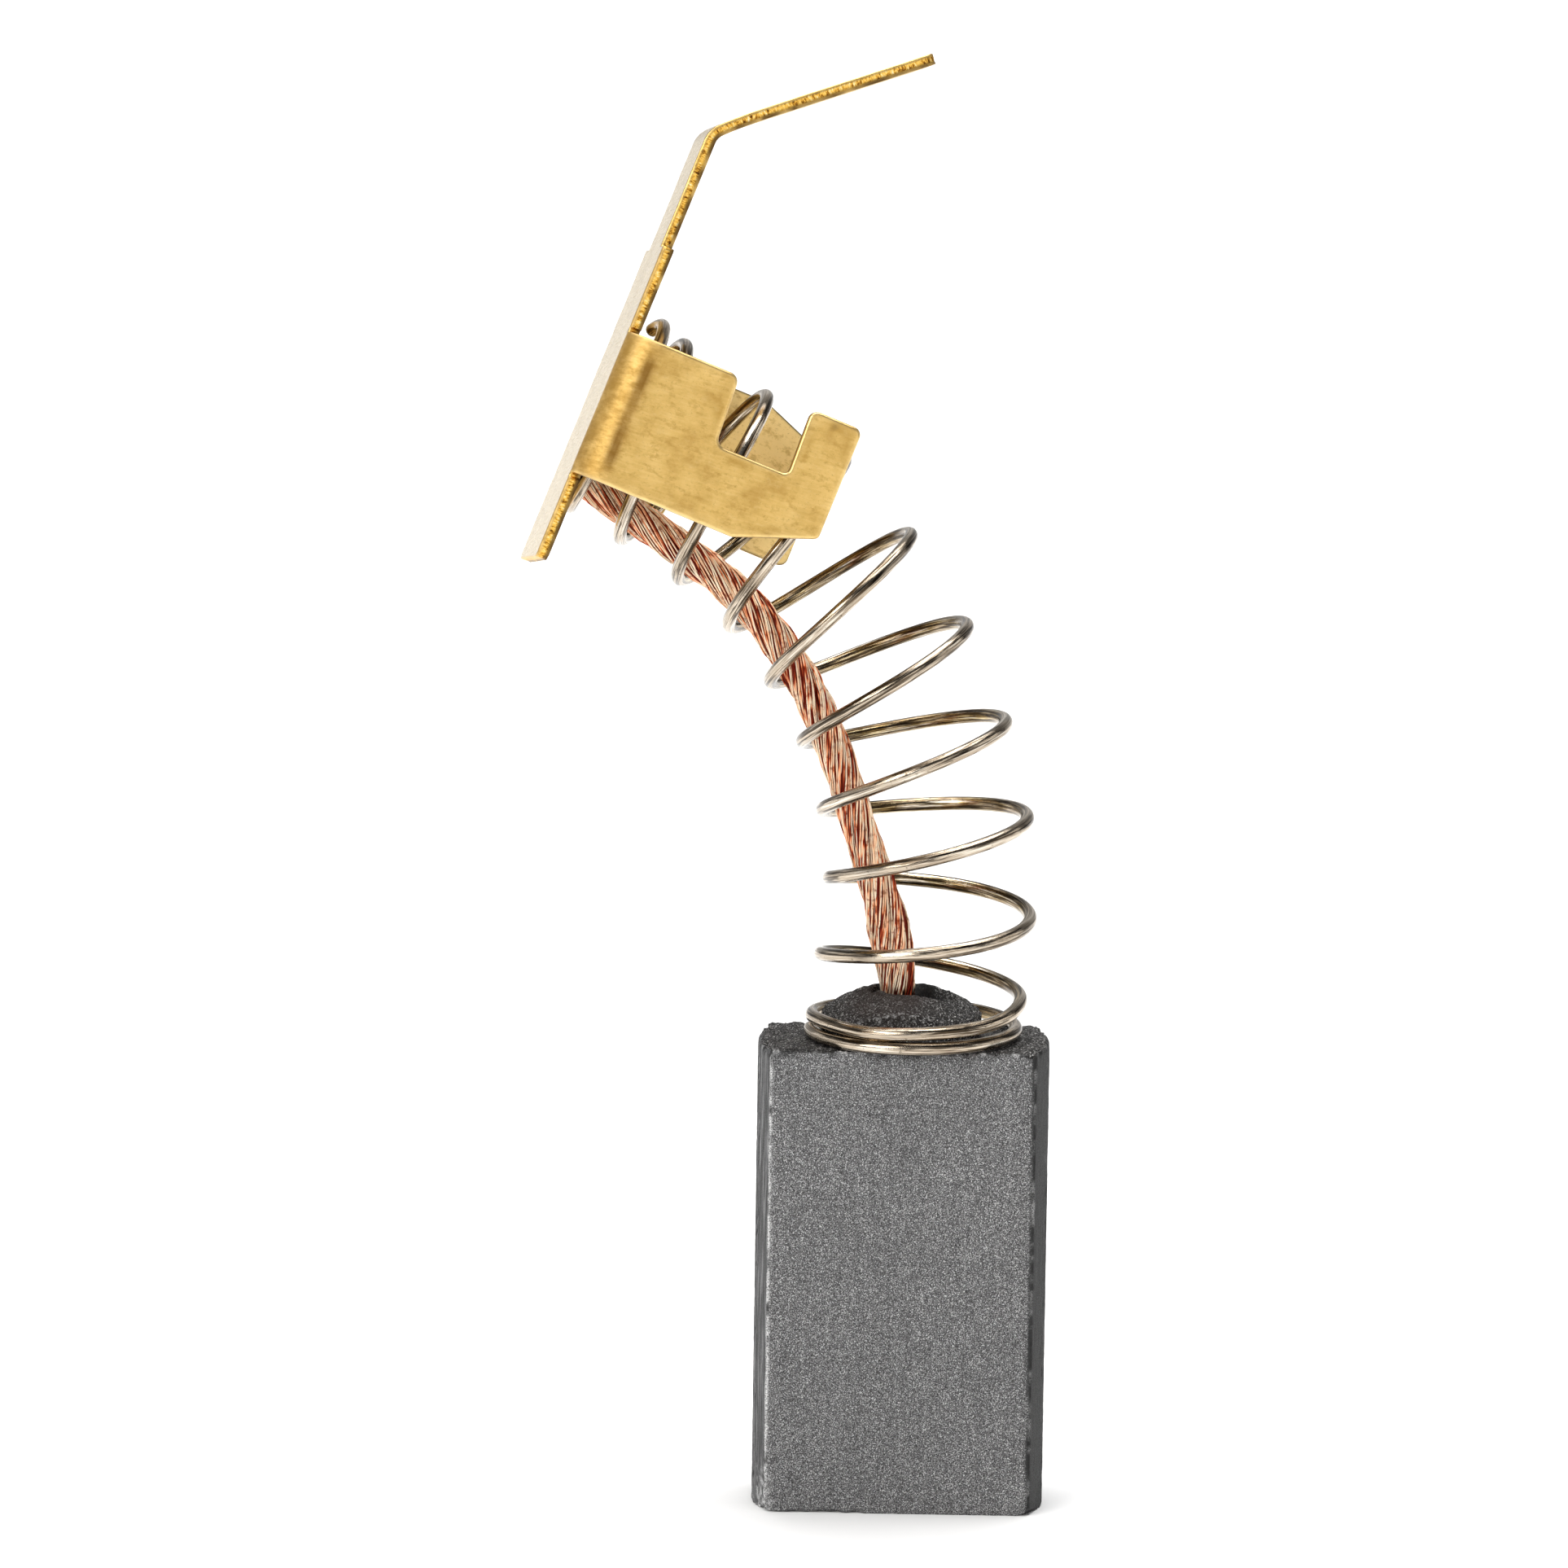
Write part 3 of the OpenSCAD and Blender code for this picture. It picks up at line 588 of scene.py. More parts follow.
def build_spring():
    sides, per_turn, wr = 20, 84, 0.236
    n = int(TURNS * per_turn)
    t = np.linspace(0, TURNS, n + 1)
    mid, c = coil(t)
    tan = unit(np.gradient(c, axis=0))
    out = unit(c - mid)
    out = unit(out - tan * (out * tan).sum(1)[:, None])
    side = np.cross(tan, out)
    length = np.concatenate([[0], np.cumsum(np.linalg.norm(np.diff(c, axis=0), axis=1))])
    # the two ends: the wire is snapped off square, with its corners rounded over
    s_end = np.minimum(length, length[-1] - length)
    verts, tube, inner, scuff, painted_dark_reflection = [], [], [], [], []
    ns = Noise(41)
    extra = [(-0.0, 0.62), (0.035, 0.86)]
    ring_c, ring_t, ring_r, ring_l, ring_o, ring_s = [], [], [], [], [], []
    for off, k in extra:
        ring_c.append(c[0] + tan[0] * off); ring_r.append(wr * k); ring_l.append(off); ring_o.append(out[0]); ring_s.append(side[0])
    for i in range(n + 1):
        p = c[i] + (tan[0] * 0.09 if i == 0 else 0) - (tan[-1] * 0.09 if i == n else 0)
        ring_c.append(p); ring_r.append(wr); ring_l.append(length[i]); ring_o.append(out[i]); ring_s.append(side[i])
    for off, k in reversed(extra):
        ring_c.append(c[-1] - tan[-1] * off); ring_r.append(wr * k); ring_l.append(length[-1] - off); ring_o.append(out[-1]); ring_s.append(side[-1])
    a = 2 * math.pi * (np.arange(sides) + 0.5) / sides
    for p, r, l, o, sd in zip(ring_c, ring_r, ring_l, ring_o, ring_s):
        wob = 1 + 0.006 * math.sin(l * 1.7)
        pts = p + r * wob * (np.cos(a)[:, None] * o + np.sin(a)[:, None] * sd)
        verts.append(pts)
        tube.append(np.column_stack([np.cos(a) * 1.0 + 3, np.full(sides, l), np.sin(a)]))
        # the side facing the coil's middle, which carries the painted golden-brown reflection
        inner.append(smooth((-np.cos(a) + 0.15) / 0.7))
        near = max(0.0, 1 - min(l, length[-1] - l) / 0.12)
        turn = np.interp(l, length, t)
        ph = turn % 1.0
        # painted dark reflection: a window just past each rope crossing, on the wire's side facing the camera
        here = float(smooth((ph - 0.045) / 0.05) * smooth((0.19 - ph) / 0.06)) * float(smooth((turn - 1.6) / 0.5))
        toward_camera = smooth(((np.cos(a)[:, None] * o + np.sin(a)[:, None] * sd) @ A([0.05, -0.97, 0.22]) - 0.62) / 0.28)
        painted_dark_reflection.append(here * toward_camera * np.clip(0.80 + 0.5 * ns(A([[l * 0.35, 3.0, 1.0]]))[0], 0.1, 0.85))
        scuff.append(np.full(sides, near))
    v = np.concatenate(verts)
    f = tube_faces(len(verts), sides)
    mask = np.ones(len(f), bool); mask[-2:] = False
    inner = np.concatenate(inner)
    return mesh_object("spring_wire_coil", v, f, {"tube": np.concatenate(tube), "inner": inner, "scuff": np.concatenate(scuff), "painted_dark_reflection": np.concatenate(painted_dark_reflection)}, smooth_mask=mask)


# --------------------------------------------------------------------------
# terminal: the flat pattern, bent
# --------------------------------------------------------------------------
T_AT, T_TURN = A([-11.05, 1.9, 37.75]), np.radians([-11.5, 22.2, 1.8])


def rot(axis, a):
    c_, s_ = math.cos(a), math.sin(a)
    return {
        "x": A([[1, 0, 0], [0, c_, -s_], [0, s_, c_]]),
        "y": A([[c_, 0, s_], [0, 1, 0], [-s_, 0, c_]]),
        "z": A([[c_, -s_, 0], [s_, c_, 0], [0, 0, 1]]),
    }[axis]


T_ROT = rot("z", T_TURN[2]) @ rot("y", T_TURN[1]) @ rot("x", T_TURN[0])
SHEET, PLATE_W, P_DOWN, P_UP, EARS_W = 0.4, 6.6, 5.7, 5.75, 8.45
EAR_H, EAR_X, FOLD_R = 2.58, 8.62, 1.1
N0, N1, NF = 4.1, 6.82, 0.1
CUT_X, CUT_Z = 2.75, 1.05
TG_W, TG_Z, TG_R, TG_A, TG_B, TG_L, BOW = 4.3, 9.7, 0.5, math.radians(44.5), math.radians(5.0), 6.0, 20.0
NEUTRAL = FOLD_R - SHEET / 2
ARC = NEUTRAL * math.pi / 2  # sheet length in each fold
HALF = EARS_W / 2 - FOLD_R  # half width of the flat back
U_EAR = HALF + ARC  # where the ear's flat begins
B_IN = TG_R + SHEET / 2
L_B, L_W = B_IN * TG_A, (BOW + SHEET / 2) * TG_B
V_TIP = TG_Z + L_B + L_W + TG_L


def round_poly(pts, n=7):
    """Corners [x, y, radius] to a smooth closed outline."""
    out, m = [], len(pts)
    for i in range(m):
        p, q, s_ = (A(pts[(i + k) % m], float) for k in (-1, 0, 1))
        r = q[2]
        p, qq, s_ = p[:2], q[:2], s_[:2]
        if r <= 0:
            out.append(qq)
            continue
        u, w = unit(p - qq), unit(s_ - qq)
        half = math.acos(np.clip(u @ w, -1, 1)) / 2
        reach = r / math.tan(half)
        mid = qq + unit(u + w) * r / math.sin(half)
        a0 = math.atan2(*(qq + u * reach - mid)[::-1])
        a1 = math.atan2(*(qq + w * reach - mid)[::-1])
        d = (a1 - a0 + 3 * math.pi) % (2 * math.pi) - math.pi
        for k in range(n + 1):
            out.append(mid + r * A([math.cos(a0 + d * k / n), math.sin(a0 + d * k / n)]))
    return out


def sheet_outline():
    """The flat pattern, u across (front ear negative), v up."""
    e = lambda x: U_EAR + (x - FOLD_R)  # place on an ear, from the plate's outer face
    h = EAR_H
    # the ear on the +u side, hook down (it is the rear ear), from the upper root round to the lower root
    rear = [
        (U_EAR, h, 0), (e(EAR_X - CUT_X), h, 0.2), (e(EAR_X), h - CUT_Z, 0.22),
        (e(EAR_X), -(h - 0.1), 0.3), (e(N1 - 0.08), -(h - 0.1), 0.3),
        (e(N1), -NF, 0.2), (e(N0 + 0.08), -NF, 0.32), (e(N0 - 0.06), -h, 0.35), (U_EAR, -h, 0),
    ]
    front = [(-p[0], -p[1], p[2]) for p in rear]
    g = 0.15
    right_side = [
        (PLATE_W / 2, -P_DOWN, 0.3), (PLATE_W / 2, -h - g, 0.05), (HALF, -h - g, 0.06), (HALF + 0.0, -h, 0.0),
    ]
    pts = []
    pts += [(-PLATE_W / 2, -P_DOWN, 0.3), (PLATE_W / 2, -P_DOWN, 0.3), (PLATE_W / 2, -h - g, 0.05), (HALF - 0.02, -h - g, 0.05), (HALF - 0.02, -h, 0.0)]
    pts += rear[::-1]
    pts += [(HALF - 0.02, h, 0.0), (HALF - 0.02, h + g, 0.05), (PLATE_W / 2, h + g, 0.05), (PLATE_W / 2, P_UP, 0.15), (TG_W / 2, P_UP, 0.12), (TG_W / 2, V_TIP, 0.35)]
    pts += [(-TG_W / 2, V_TIP, 0.35), (-TG_W / 2, P_UP, 0.12), (-PLATE_W / 2, P_UP, 0.15), (-PLATE_W / 2, h + g, 0.05), (-HALF + 0.02, h + g, 0.05), (-HALF + 0.02, h, 0.0)]
    pts += front[::-1]
    pts += [(-HALF + 0.02, -h, 0.0), (-HALF + 0.02, -h - g, 0.05), (-PLATE_W / 2, -h - g, 0.05)]
    return round_poly(pts)


def bend(u, v, d):
    """Flat pattern (u, v) at depth d from the outer face to the terminal's own axes."""
    u, v, d = (np.asarray(k, float) for k in (u, v, d))
    au, su = np.abs(u), np.sign(u)
    # plate and ears: x from the outer face, y across
    x, y = d.copy(), u.copy()
    f = (au > HALF) & (au <= U_EAR)
    th = (au - HALF) / NEUTRAL
    r = FOLD_R - d
    x = np.where(f, FOLD_R - r * np.cos(th), x)
    y = np.where(f, su * (HALF + r * np.sin(th)), y)
    g = au > U_EAR
    x = np.where(g, FOLD_R + (au - U_EAR), x)
    y = np.where(g, su * (EARS_W / 2 - d), y)
    z = v.copy()
    # tongue: turns towards the ears' side about Y
    t1 = v > TG_Z
    a = np.clip((v - TG_Z) / B_IN, 0, TG_A)
    rb = TG_R + SHEET - d
    cx, cz = SHEET + TG_R, TG_Z
    x1, z1 = cx - rb * np.cos(a), cz + rb * np.sin(a)
    b = np.clip((v - TG_Z - L_B) / (BOW + SHEET / 2), 0, TG_B)
    c2x, c2z = cx + (BOW - TG_R) * math.cos(TG_A), cz - (BOW - TG_R) * math.sin(TG_A)
    rw = BOW + SHEET - d
    x2, z2 = c2x - rw * np.cos(TG_A + b), c2z + rw * np.sin(TG_A + b)
    l = np.maximum(v - TG_Z - L_B - L_W, 0)
    tot = TG_A + TG_B
    x2, z2 = x2 + l * math.sin(tot), z2 + l * math.cos(tot)
    w = v > TG_Z + L_B
    x = np.where(t1 & ~w, x1, np.where(w, x2, x))
    z = np.where(t1 & ~w, z1, np.where(w, z2, z))
    return np.column_stack([x, y, z])


def resample(loop, step):
    loop = A(loop)
    out = []
    for p, q in zip(loop, np.roll(loop, -1, 0)):
        L = np.linalg.norm(q - p)
        if L < 1e-6:
            continue
        k = max(1, int(math.ceil(L / step)))
        for i in range(k):
            out.append(p + (q - p) * i / k)
    return A(out)


def inside(poly, pts):
    x, y = pts[:, 0], pts[:, 1]
    res = np.zeros(len(pts), bool)
    for (x0, y0), (x1, y1) in zip(poly, np.roll(poly, -1, 0)):
        c_ = (y0 > y) != (y1 > y)
        res ^= c_ & (x < (x1 - x0) * (y - y0) / (y1 - y0 + 1e-15) + x0)
    return res


def seg_dist(poly, pts):
    best = np.full(len(pts), 1e9)
    for p, q in zip(poly, np.roll(poly, -1, 0)):
        d = q - p
        t = np.clip(((pts - p) @ d) / (d @ d), 0, 1)
        best = np.minimum(best, np.hypot(*(pts - p - t[:, None] * d).T))
    return best


def build_terminal():
    loop = resample(sheet_outline(), 0.16)
    # inward normals of the outline (it runs anticlockwise)
    t = np.roll(loop, -1, 0) - np.roll(loop, 1, 0)
    nin = unit(np.column_stack([-t[:, 1], t[:, 0]]))
    rings = [0.0, 0.02, 0.05, 0.09, 0.14]
    pts = [loop + nin * r for r in rings]
    n = len(loop)
    keep = []
    for k, p in enumerate(pts):
        if k == 0:
            keep.append(np.ones(n, bool)); continue
        ok = inside(loop, p) & (seg_dist(loop, p) > rings[k] * 0.86)
        keep.append(ok)
    base = np.concatenate([p[k] for p, k in zip(pts, keep)])
    # inner grid, finer in the folds
    us = np.concatenate([np.arange(-U_EAR - 8, U_EAR + 8, 0.2)])
    us = np.unique(np.round(np.concatenate([us, np.linspace(HALF, U_EAR, 12), -np.linspace(HALF, U_EAR, 12), A([U_EAR + 0.12, U_EAR + 0.3, -U_EAR - 0.12, -U_EAR - 0.3])]), 4))
    vs = np.unique(np.round(np.concatenate([np.arange(-5.6, V_TIP, 0.2), np.linspace(TG_Z, TG_Z + L_B, 8)]), 4))
    g = np.stack(np.meshgrid(us, vs), -1).reshape(-1, 2)
    g = g[inside(loop, g)]
    g = g[seg_dist(loop, g) > 0.2]
    allp = np.concatenate([base, g])
    edges = [(i, (i + 1) % n) for i in range(n)]
    vv, _, ff, ov, _, _ = geometry.delaunay_2d_cdt([Vector(p) for p in allp], edges, [], 1, 1e-7)
    P = A([q[:] for q in vv])
    m = len(P)
    dist = seg_dist(loop, P)
    # which points are on the outline, in order
    order = [None] * n
    for k, srcs in enumerate(ov):
        for q in srcs:
            if q < n:
                order[q] = k
    order = [k for k in order if k is not None]
    d = np.clip(dist, 0, None)
    R1, R2 = np.where(np.abs(P[:, 0]) > HALF + 0.3, 0.11, 0.045), 0.035
    roll = R1 - np.sqrt(np.maximum(R1**2 - (R1 - np.minimum(d, R1)) ** 2, 0))
    burr = R2 - np.sqrt(np.maximum(R2**2 - (R2 - np.minimum(d, R2)) ** 2, 0))
    nz = Noise(51)
    wave = 0.010 * nz.fbm(A([P[:, 0] * 0.55, P[:, 1] * 0.55]).T, 1.0, 3)
    line = np.exp(-(((np.abs(P[:, 0]) - U_EAR + 0.06 - 0.05 * nz(P * 0.8)) / 0.15) ** 2)) * smooth((2.25 - np.abs(P[:, 1])) / 0.7) * (np.abs(P[:, 1]) < EAR_H)
    coin = 0.022 * line
    outer_d = np.clip(0.9 * roll + wave + coin + 0.004, 0.0, 0.17)
    inner_d = SHEET - np.clip(burr + 0.6 * wave, 0.0, 0.08) + 0.0
    inner_d = np.clip(inner_d, 0.3, SHEET - 0.001)
    flat_u, flat_v = P.T
    Vo, Vi = bend(flat_u, flat_v, outer_d), bend(flat_u, flat_v, inner_d)
    verts = [Vo, Vi]
    faces = [list(f) for f in ff]
    # outer face looks away from the sheet's inside
    tri = faces[0]
    nn = np.cross(Vo[tri[1]] - Vo[tri[0]], Vo[tri[2]] - Vo[tri[0]])
    centre_dir = Vi[tri[0]] - Vo[tri[0]]
    if nn @ centre_dir > 0:
        fo = [f[::-1] for f in faces]
        fi = [[k + m for k in f] for f in faces]
    else:
        fo = faces
        fi = [[k + m for k in f[::-1]] for f in faces]
    # the sheared face between them, in four bands with scores across it
    no = len(order)
    bands = [0.25, 0.5, 0.75]
    Po = P[order]
    rough = Noise(52)
    side_idx = [list(order)]
    cur = 2 * m
    edge_attr = [np.zeros(m), np.zeros(m)]
    flat_attr = [np.column_stack([P, np.zeros(m)]), np.column_stack([P + A([31.0, 0]), np.zeros(m)])]
    tin = np.roll(Po, -1, 0) - np.roll(Po, 1, 0)
    nino = unit(np.column_stack([-tin[:, 1], tin[:, 0]]))
    for b_ in bands:
        dd = outer_d[order] * (1 - b_) + inner_d[order] * b_
        tear = 0.008 * (1 + rough.fbm(A([Po[:, 0] * 3, Po[:, 1] * 3, np.full(no, b_ * 0.6)]).T, 1.0, 2)) + 0.012 * (b_ > 0.6)
        q = Po + nino * tear[:, None]
        verts.append(bend(q[:, 0], q[:, 1], dd))
        edge_attr.append(np.ones(no))
        flat_attr.append(np.column_stack([q, np.full(no, b_)]))
        side_idx.append(list(range(cur, cur + no)))
        cur += no
    side_idx.append([k + m for k in order])
    fs = []
    for r0, r1 in zip(side_idx[:-1], side_idx[1:]):
        for i in range(no):
            j = (i + 1) % no
            fs.append([r0[i], r0[j], r1[j], r1[i]])
    allv = np.concatenate(verts)
    # orient the side faces outwards
    f = fs[0]
    nn = np.cross(allv[f[1]] - allv[f[0]], allv[f[2]] - allv[f[0]])
    p_in = bend(*(Po[0] + nino[0] * 0.1)[:, None], A([SHEET / 2]))[0]
    if nn @ (allv[f[0]] - p_in) < 0:
        fs = [q[::-1] for q in fs]
    world = allv @ T_ROT.T + T_AT
    edge = np.concatenate(edge_attr)
    rim = np.zeros(len(allv))
    rim[:m] = np.exp(-((dist / 0.10) ** 2)) * (0.75 + 0.35 * nz.fbm(P * 1.3, 1.0, 2)) * np.where(np.abs(P[:, 0]) > HALF + 0.3, 1.0, 0.35)
    rim[m : 2 * m] = 0.3 * np.exp(-((dist / 0.06) ** 2))
    fold = np.zeros(len(allv))
    fold[:m] = line * (0.85 + 0.4 * Noise(53).fbm(P * 0.9, 1.0, 3))
    # the plate's outer face is smooth, with a few fine marks, and paled as a painted highlight
    back = np.zeros(len(allv))
    back[:m] = smooth((HALF + 0.02 - np.abs(P[:, 0])) / 0.06) * smooth((dist - 0.03) / 0.03)
    # tarnish just inside the rubbed border
    halo = np.zeros(len(allv))
    arc = np.zeros(len(allv))
    arc[:m] = smooth((np.abs(P[:, 0]) - HALF + 0.05) / 0.2) * smooth((U_EAR + 0.35 - np.abs(P[:, 0])) / 0.4)
    halo[:m] = np.exp(-(((dist - 0.26) / 0.13) ** 2)) * np.clip(0.35 + 1.1 * Noise(55).fbm(P * 0.8, 1.0, 3), 0, 1) * (np.abs(P[:, 0]) > HALF)
    halo[:m] = np.maximum(halo[:m], smooth((0.5 - np.abs(np.abs(P[:, 0]) - HALF - 0.35)) / 0.35) * np.clip(0.55 + 0.9 * Noise(56).fbm(P * 1.6, 1.0, 3), 0, 1) * (np.abs(P[:, 1]) < EAR_H))
    # painted light: the ears' inner faces are lightened
    inner_face_light = np.zeros(len(allv))
    inner_face_light[m : 2 * m] = smooth((np.abs(P[:, 0]) - U_EAR + 0.5) / 0.5)
    burr = np.zeros(len(allv))
    tearn = np.clip(0.75 + 0.6 * Noise(54).fbm(A([P[:, 0] * 2.0, P[:, 1] * 2.0]).T, 1.0, 2), 0, 1)
    burr[m : 2 * m] = np.exp(-((dist / 0.05) ** 2)) * tearn
    last = len(allv) - no
    burr[last:] = 0.80 * tearn[order]
    spot = np.zeros(len(allv))
    for pu, pv, r_ in ((-1.6, 1.1, 0.06), (0.4, -2.2, 0.05), (-0.9, 3.4, 0.05), (2.1, 0.2, 0.05), (-U_EAR - 6.55, 2.25, 0.07), (-1.9, -4.1, 0.05), (1.1, 7.2, 0.05)):
        spot[:m] = np.maximum(spot[:m], np.exp(-(((P[:, 0] - pu) ** 2 + (P[:, 1] - pv) ** 2) / r_**2)))
    mask = np.ones(len(fo) + len(fi) + len(fs), bool)
    ob = mesh_object(
        "terminal_sheet", world, fo + fi + fs,
        {"flat": np.concatenate(flat_attr), "edge": edge, "rim": np.clip(rim, 0, 1), "fold": np.clip(fold, 0, 1), "spot": spot, "back": back, "burr": burr, "halo": halo, "inside": inner_face_light, "arc": arc},
        smooth_mask=mask,
    )
    return ob


# --------------------------------------------------------------------------
# stranded lead
# --------------------------------------------------------------------------
ROUTE = A([
    [-0.2, 0.25, 9.9], [-0.2, 0.25, 12.0], [-0.2, 0.25, 14.0], [-0.2, 0.25, 16.0],
    [-0.2, 0.25, 18.0], [-0.55, 0.3, 20.0], [-1.15, 0.4, 22.0], [-1.85, 0.5, 24.0],
    [-2.5, 0.6, 26.0], [-3.3, 0.75, 27.9], [-4.4, 0.95, 29.65], [-5.75, 1.15, 31.25],
    [-7.25, 1.3, 32.4], [-8.9, 1.4, 33.55], [-10.55, 1.5, 34.75], [-12.25, 1.6, 35.9],
])


def build_lead():
    rs = np.random.RandomState(77)
    T0, T1 = 2.2, 12.05
    K = 150
    t = np.linspace(T0, T1, K)
    c = spline(ROUTE, t)
    foot = T_AT + T_ROT @ A([SHEET + 0.02, 0, -2.42])
    # ease the last stretch to the plate
    w = smooth((np.arange(K) - (K - 12)) / 11.0)[:, None]
    c = c * (1 - w) + (foot + (c - c[-1])) * w
    L = np.concatenate([[0], np.cumsum(np.linalg.norm(np.diff(c, axis=0), axis=1))])
    tan, n, b = sweep_frames(c)
    total = L[-1]
    lay = 13.0
    parts = {"lead_rope_outer": [], "lead_rope_inner": []}
    wr = 0.027
    sides = 5
    ang = 2 * math.pi * np.arange(sides) / sides
    jit = Noise(61)
    # twist: gentle near the block, tighter towards the terminal
    tw = 2 * math.pi * (L / lay) * (0.55 + 0.75 * smooth(L / total))
    for bi in range(7):
        centre = bi == 6
        Rb = 0.0 if centre else 0.395
        rb = 0.205 if not centre else 0.17
        ph = bi * 2 * math.pi / 6 + rs.uniform(-0.12, 0.12)
        wires = 22 if not centre else 8
        bc = c + Rb * (np.cos(tw + ph)[:, None] * n + np.sin(tw + ph)[:, None] * b)
        bt, bn, bb = sweep_frames(bc, up=(0.3, 1.0, 0.2))
        own = 2 * math.pi * L / (rs.uniform(6.5, 9.0))
        # the imported wires inside the bundle, seen only as a dark core between the outer ones: a tube painted dark as
        # the shade in the gaps
        ca = 2 * math.pi * np.arange(9) / 9
        fat = (rb - 0.026) * (1 + 0.19 * np.exp(-((L - 3.4) / 1.5) ** 2))
        core_mid = c + (bc - c) * (1 + 0.19 * np.exp(-((L - 3.4) / 1.5) ** 2))[:, None]
        core = core_mid[:, None, :] + fat[:, None, None] * (np.cos(ca)[None, :, None] * bn[:, None, :] + np.sin(ca)[None, :, None] * bb[:, None, :])
        parts["lead_rope_inner" if (centre or bi % 2) else "lead_rope_outer"].append((core.reshape(-1, 3), np.zeros(K * 9), np.ones(K * 9), np.repeat(smooth((17.85 - c[:, 2]) / 0.3), 9), 9))
        for wi in range(wires):
            a0 = wi * 2 * math.pi / wires + rs.uniform(-0.15, 0.15)
            r0 = rb * (1.0 if wi % 3 else 0.86)
            wob = 0.026 * jit(np.column_stack([L * 0.55, np.full(K, wi * 3.1), np.full(K, bi * 5.7)]))
            wob = wob + 0.028 * jit(np.column_stack([L * 1.9, np.full(K, wi * 4.7 + 3), np.full(K, bi * 2.9)]))
            wob2 = 0.07 * jit(np.column_stack([L * 4.1, np.full(K, wi * 3.3 + 2), np.full(K, bi * 1.3 + 7)])) + 0.30 * jit(np.column_stack([L * 0.4, np.full(K, wi * 2.3 + 9), np.full(K, bi * 4.1)])) + 0.13 * jit(np.column_stack([L * 1.7, np.full(K, wi * 1.9 + 5), np.full(K, bi * 2.2 + 1)]))
            rr = (r0 + wob)
            a = own + a0 + wob2
            p = bc + rr[:, None] * (np.cos(a)[:, None] * bn + np.sin(a)[:, None] * bb)
            # spread a little where the rope leaves the crater
            rel = p - c
            swell = 1 + 0.19 * np.exp(-((L - 3.4) / 1.5) ** 2)
            p = c + rel * swell[:, None]
            q, qn, qb = sweep_frames(p, up=(0.2, 0.4, 1.0))
            ring = p[:, None, :] + wr * (np.cos(ang)[None, :, None] * qn[:, None, :] + np.sin(ang)[None, :, None] * qb[:, None, :])
            tone = rs.uniform(0.25, 0.95) * (0.12 if rs.rand() < 0.26 else 1.0)
            tone = np.clip(tone + 0.31 + 0.60 * jit(np.column_stack([L * 1.15, np.full(K, wi * 1.7), np.full(K, bi + 20)])) + 0.60 * jit(np.column_stack([L * 3.7, np.full(K, wi * 2.9), np.full(K, bi + 40)])) + 0.10 * np.exp(-((L - 5.0) / 4.0) ** 2), 0, 1)
            # how far under the rope's surface this wire lies, for the painted shade on the inner wires
            rad = np.linalg.norm(p - c, axis=1)
            depth_shade = smooth((0.450 - rad / swell) / 0.11)
            zc_ = p[:, 2]
            # each wire's painted shade starts at its own level, so that the foot is ragged
            cut = 17.66 + 0.42 * abs(jit(A([[wi * 0.55 + 0.3, bi * 3.3, 0.5]]))[0]) + rs.uniform(-0.10, 0.34)
            foot_shade = smooth((cut - zc_) / 0.06)
            parts["lead_rope_inner" if (centre or bi % 2) else "lead_rope_outer"].append((ring.reshape(-1, 3), np.repeat(tone, sides), np.repeat(depth_shade, sides), np.repeat(foot_shade, sides), sides))
    obs = []
    for name, lst in parts.items():
        v, f, tone, depth_shade, foot_shade, base = [], [], [], [], [], 0
        for ring, to, de, du, nsd in lst:
            v.append(ring); tone.append(to); depth_shade.append(de); foot_shade.append(du)
            f += tube_faces(K, nsd, base)
            base += len(ring)
        obs.append(mesh_object(name, np.concatenate(v), f, {"tone": np.concatenate(tone), "depth_shade": np.concatenate(depth_shade), "foot_shade": np.concatenate(foot_shade)}))
    return obs


# --------------------------------------------------------------------------
# build, ride, replace
# --------------------------------------------------------------------------
def dress(o, material, slot, *nodes):
    o.data.materials.clear()
    o.data.materials.append(material)
    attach(o, "root")
    if nodes:
        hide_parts(*nodes)
    return o


dress(build_block(), carbon_material(), "carbon", "carbon_block")
dress(build_spring(), steel_material(), "spring_wire", "spring")
dress(build_terminal(), brass_material(), "terminal_brass", "terminal")
copper = copper_material()
for k, o in enumerate(build_lead()):
    dress(o, copper, "copper_strand", "shunt_lead")

# --------------------------------------------------------------------------
# floor and light
# --------------------------------------------------------------------------
fl = bpy.data.meshes.new("floor")
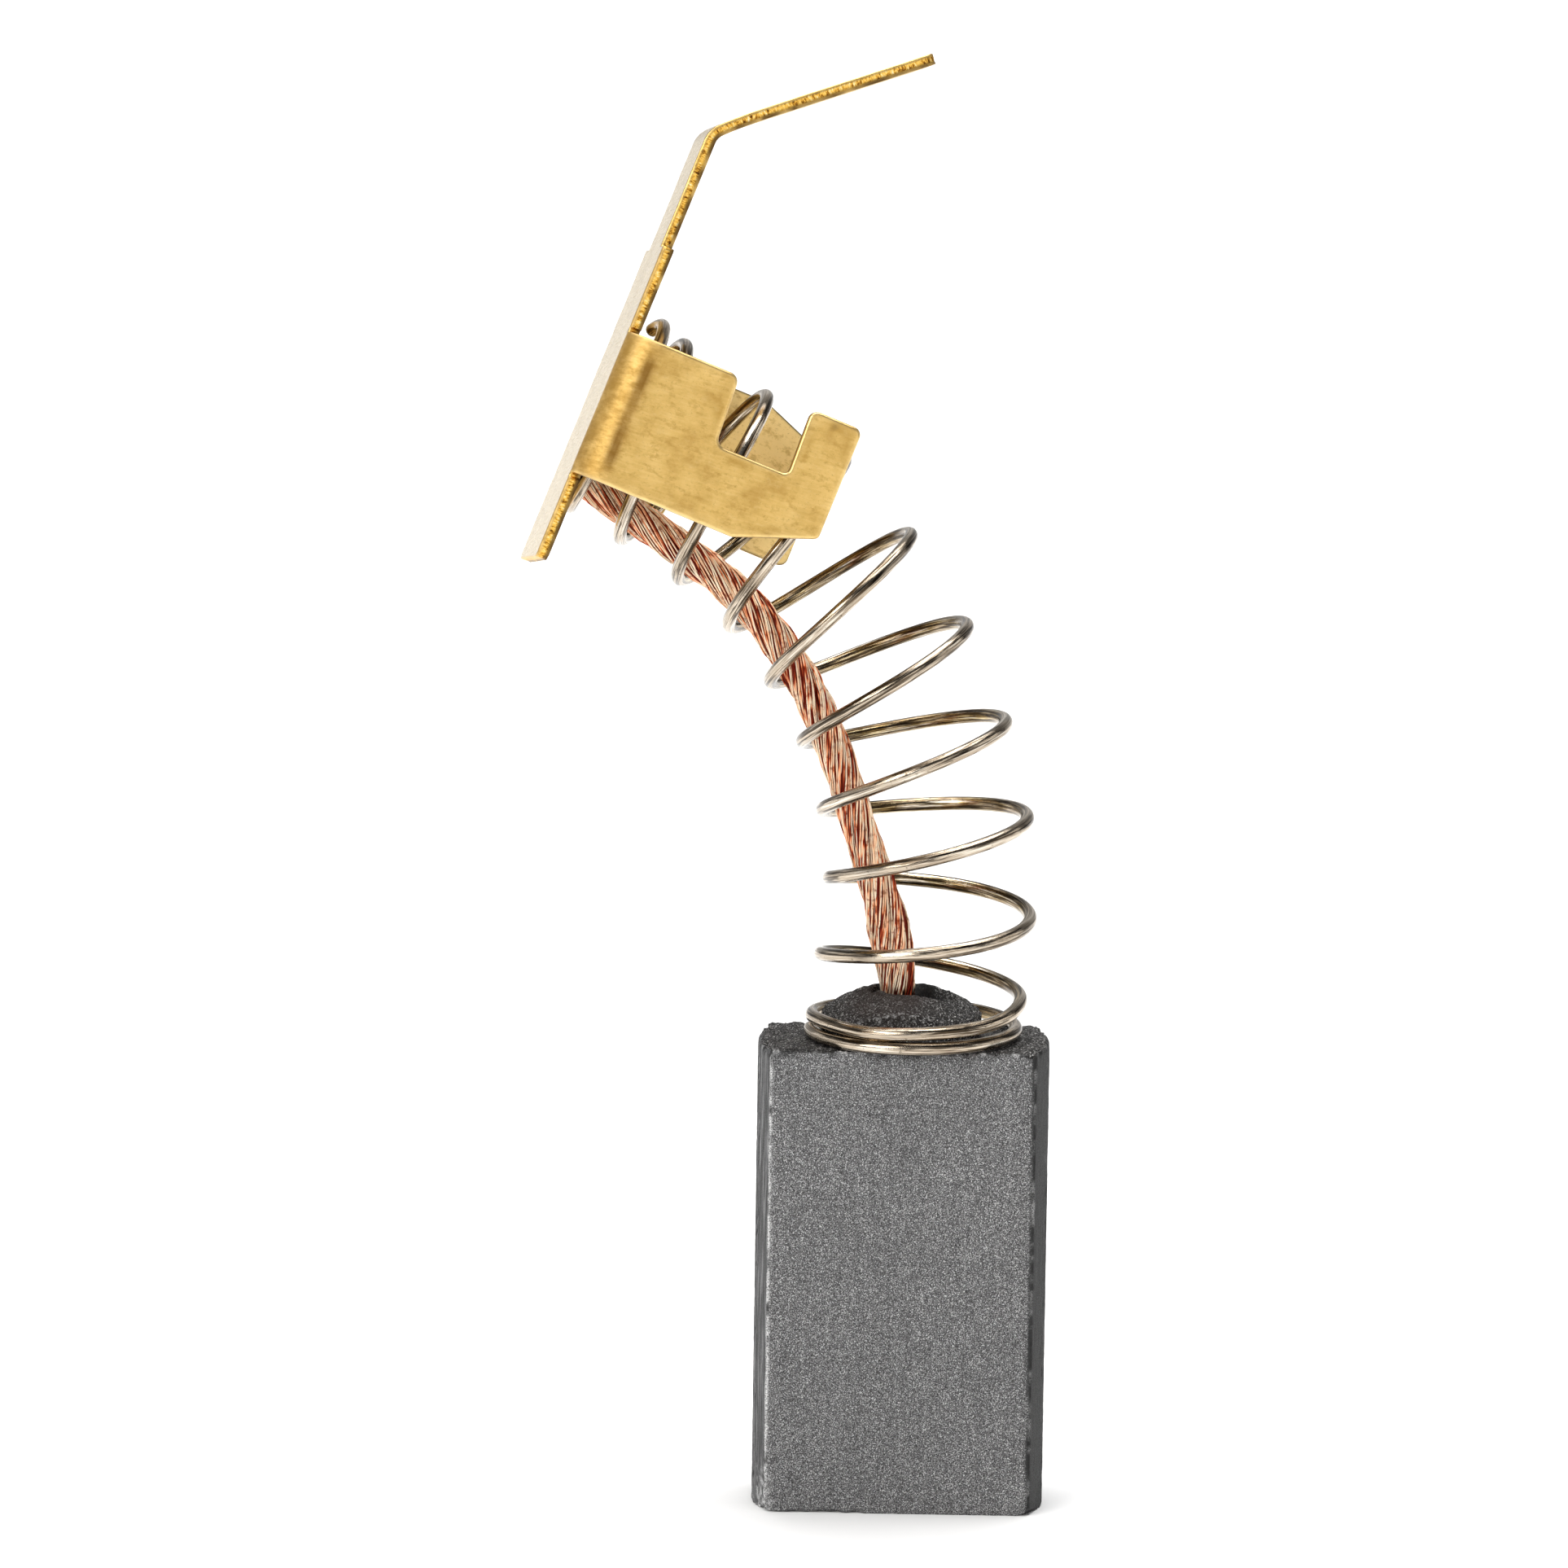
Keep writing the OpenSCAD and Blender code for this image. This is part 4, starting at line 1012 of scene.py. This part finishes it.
# a floor that curves up into a back wall far behind
prof = [(-2.0, 0.0), (1.6, 0.0)] + [(1.6 + 0.6 * math.sin(a), 0.6 - 0.6 * math.cos(a)) for a in np.linspace(0.1, math.pi / 2, 14)] + [(2.2, 2.6)]
fv, ff = [], []
for yy, zz in prof:
    fv += [(-2.6, yy, zz), (2.6, yy, zz)]
for i in range(len(prof) - 1):
    ff.append((2 * i, 2 * i + 1, 2 * i + 3, 2 * i + 2))
fl.from_pydata(fv, [], ff)
fl.polygons.foreach_set("use_smooth", [True] * len(ff))
floor = bpy.data.objects.new("floor", fl)
scene.collection.objects.link(floor)
fl.materials.append(floor_material())


def area(name, at, to, size, power, color=(1, 1, 1), size_y=None):
    d = bpy.data.lights.new(name, "AREA")
    d.shape = "RECTANGLE"
    d.size, d.size_y = size, size_y or size
    d.energy = power
    d.color = color
    o = bpy.data.objects.new(name, d)
    scene.collection.objects.link(o)
    o.location = at
    o.rotation_mode = "QUATERNION"
    o.rotation_quaternion = (Vector(to) - Vector(at)).to_track_quat("-Z", "Y")
    return o


mid = (-0.004, 0.002, 0.025)
area("key_left", (-0.50, -0.60, 0.52), mid, 0.50, 5.0, (1.0, 0.985, 0.96))
area("front_fill", (0.56, -1.15, 0.27), mid, 0.95, 3.3, (1.0, 0.99, 0.97), 0.70)
area("right_wall", (1.25, 0.10, 0.50), mid, 1.10, 2.2, (1.0, 0.99, 0.97), 0.60)
area("top", (0.05, 0.10, 0.90), mid, 0.70, 6.0, (1.0, 1.0, 1.0))
area("left_wall", (-1.35, 0.25, 0.42), mid, 1.90, 3.1, (1.0, 1.0, 1.0), 0.70)
area("floor_wash", (0.0, 0.50, 1.60), (0.0, 0.40, 0.0), 1.5, 20.0, (1.0, 1.0, 1.0))
world = bpy.data.worlds.new("studio")
scene.world = world
world.use_nodes = True
bg = world.node_tree.nodes["Background"]
bg.inputs[0].default_value = (1.0, 0.985, 0.965, 1)
bg.inputs[1].default_value = 0.07
scene.view_settings.view_transform = "Standard"
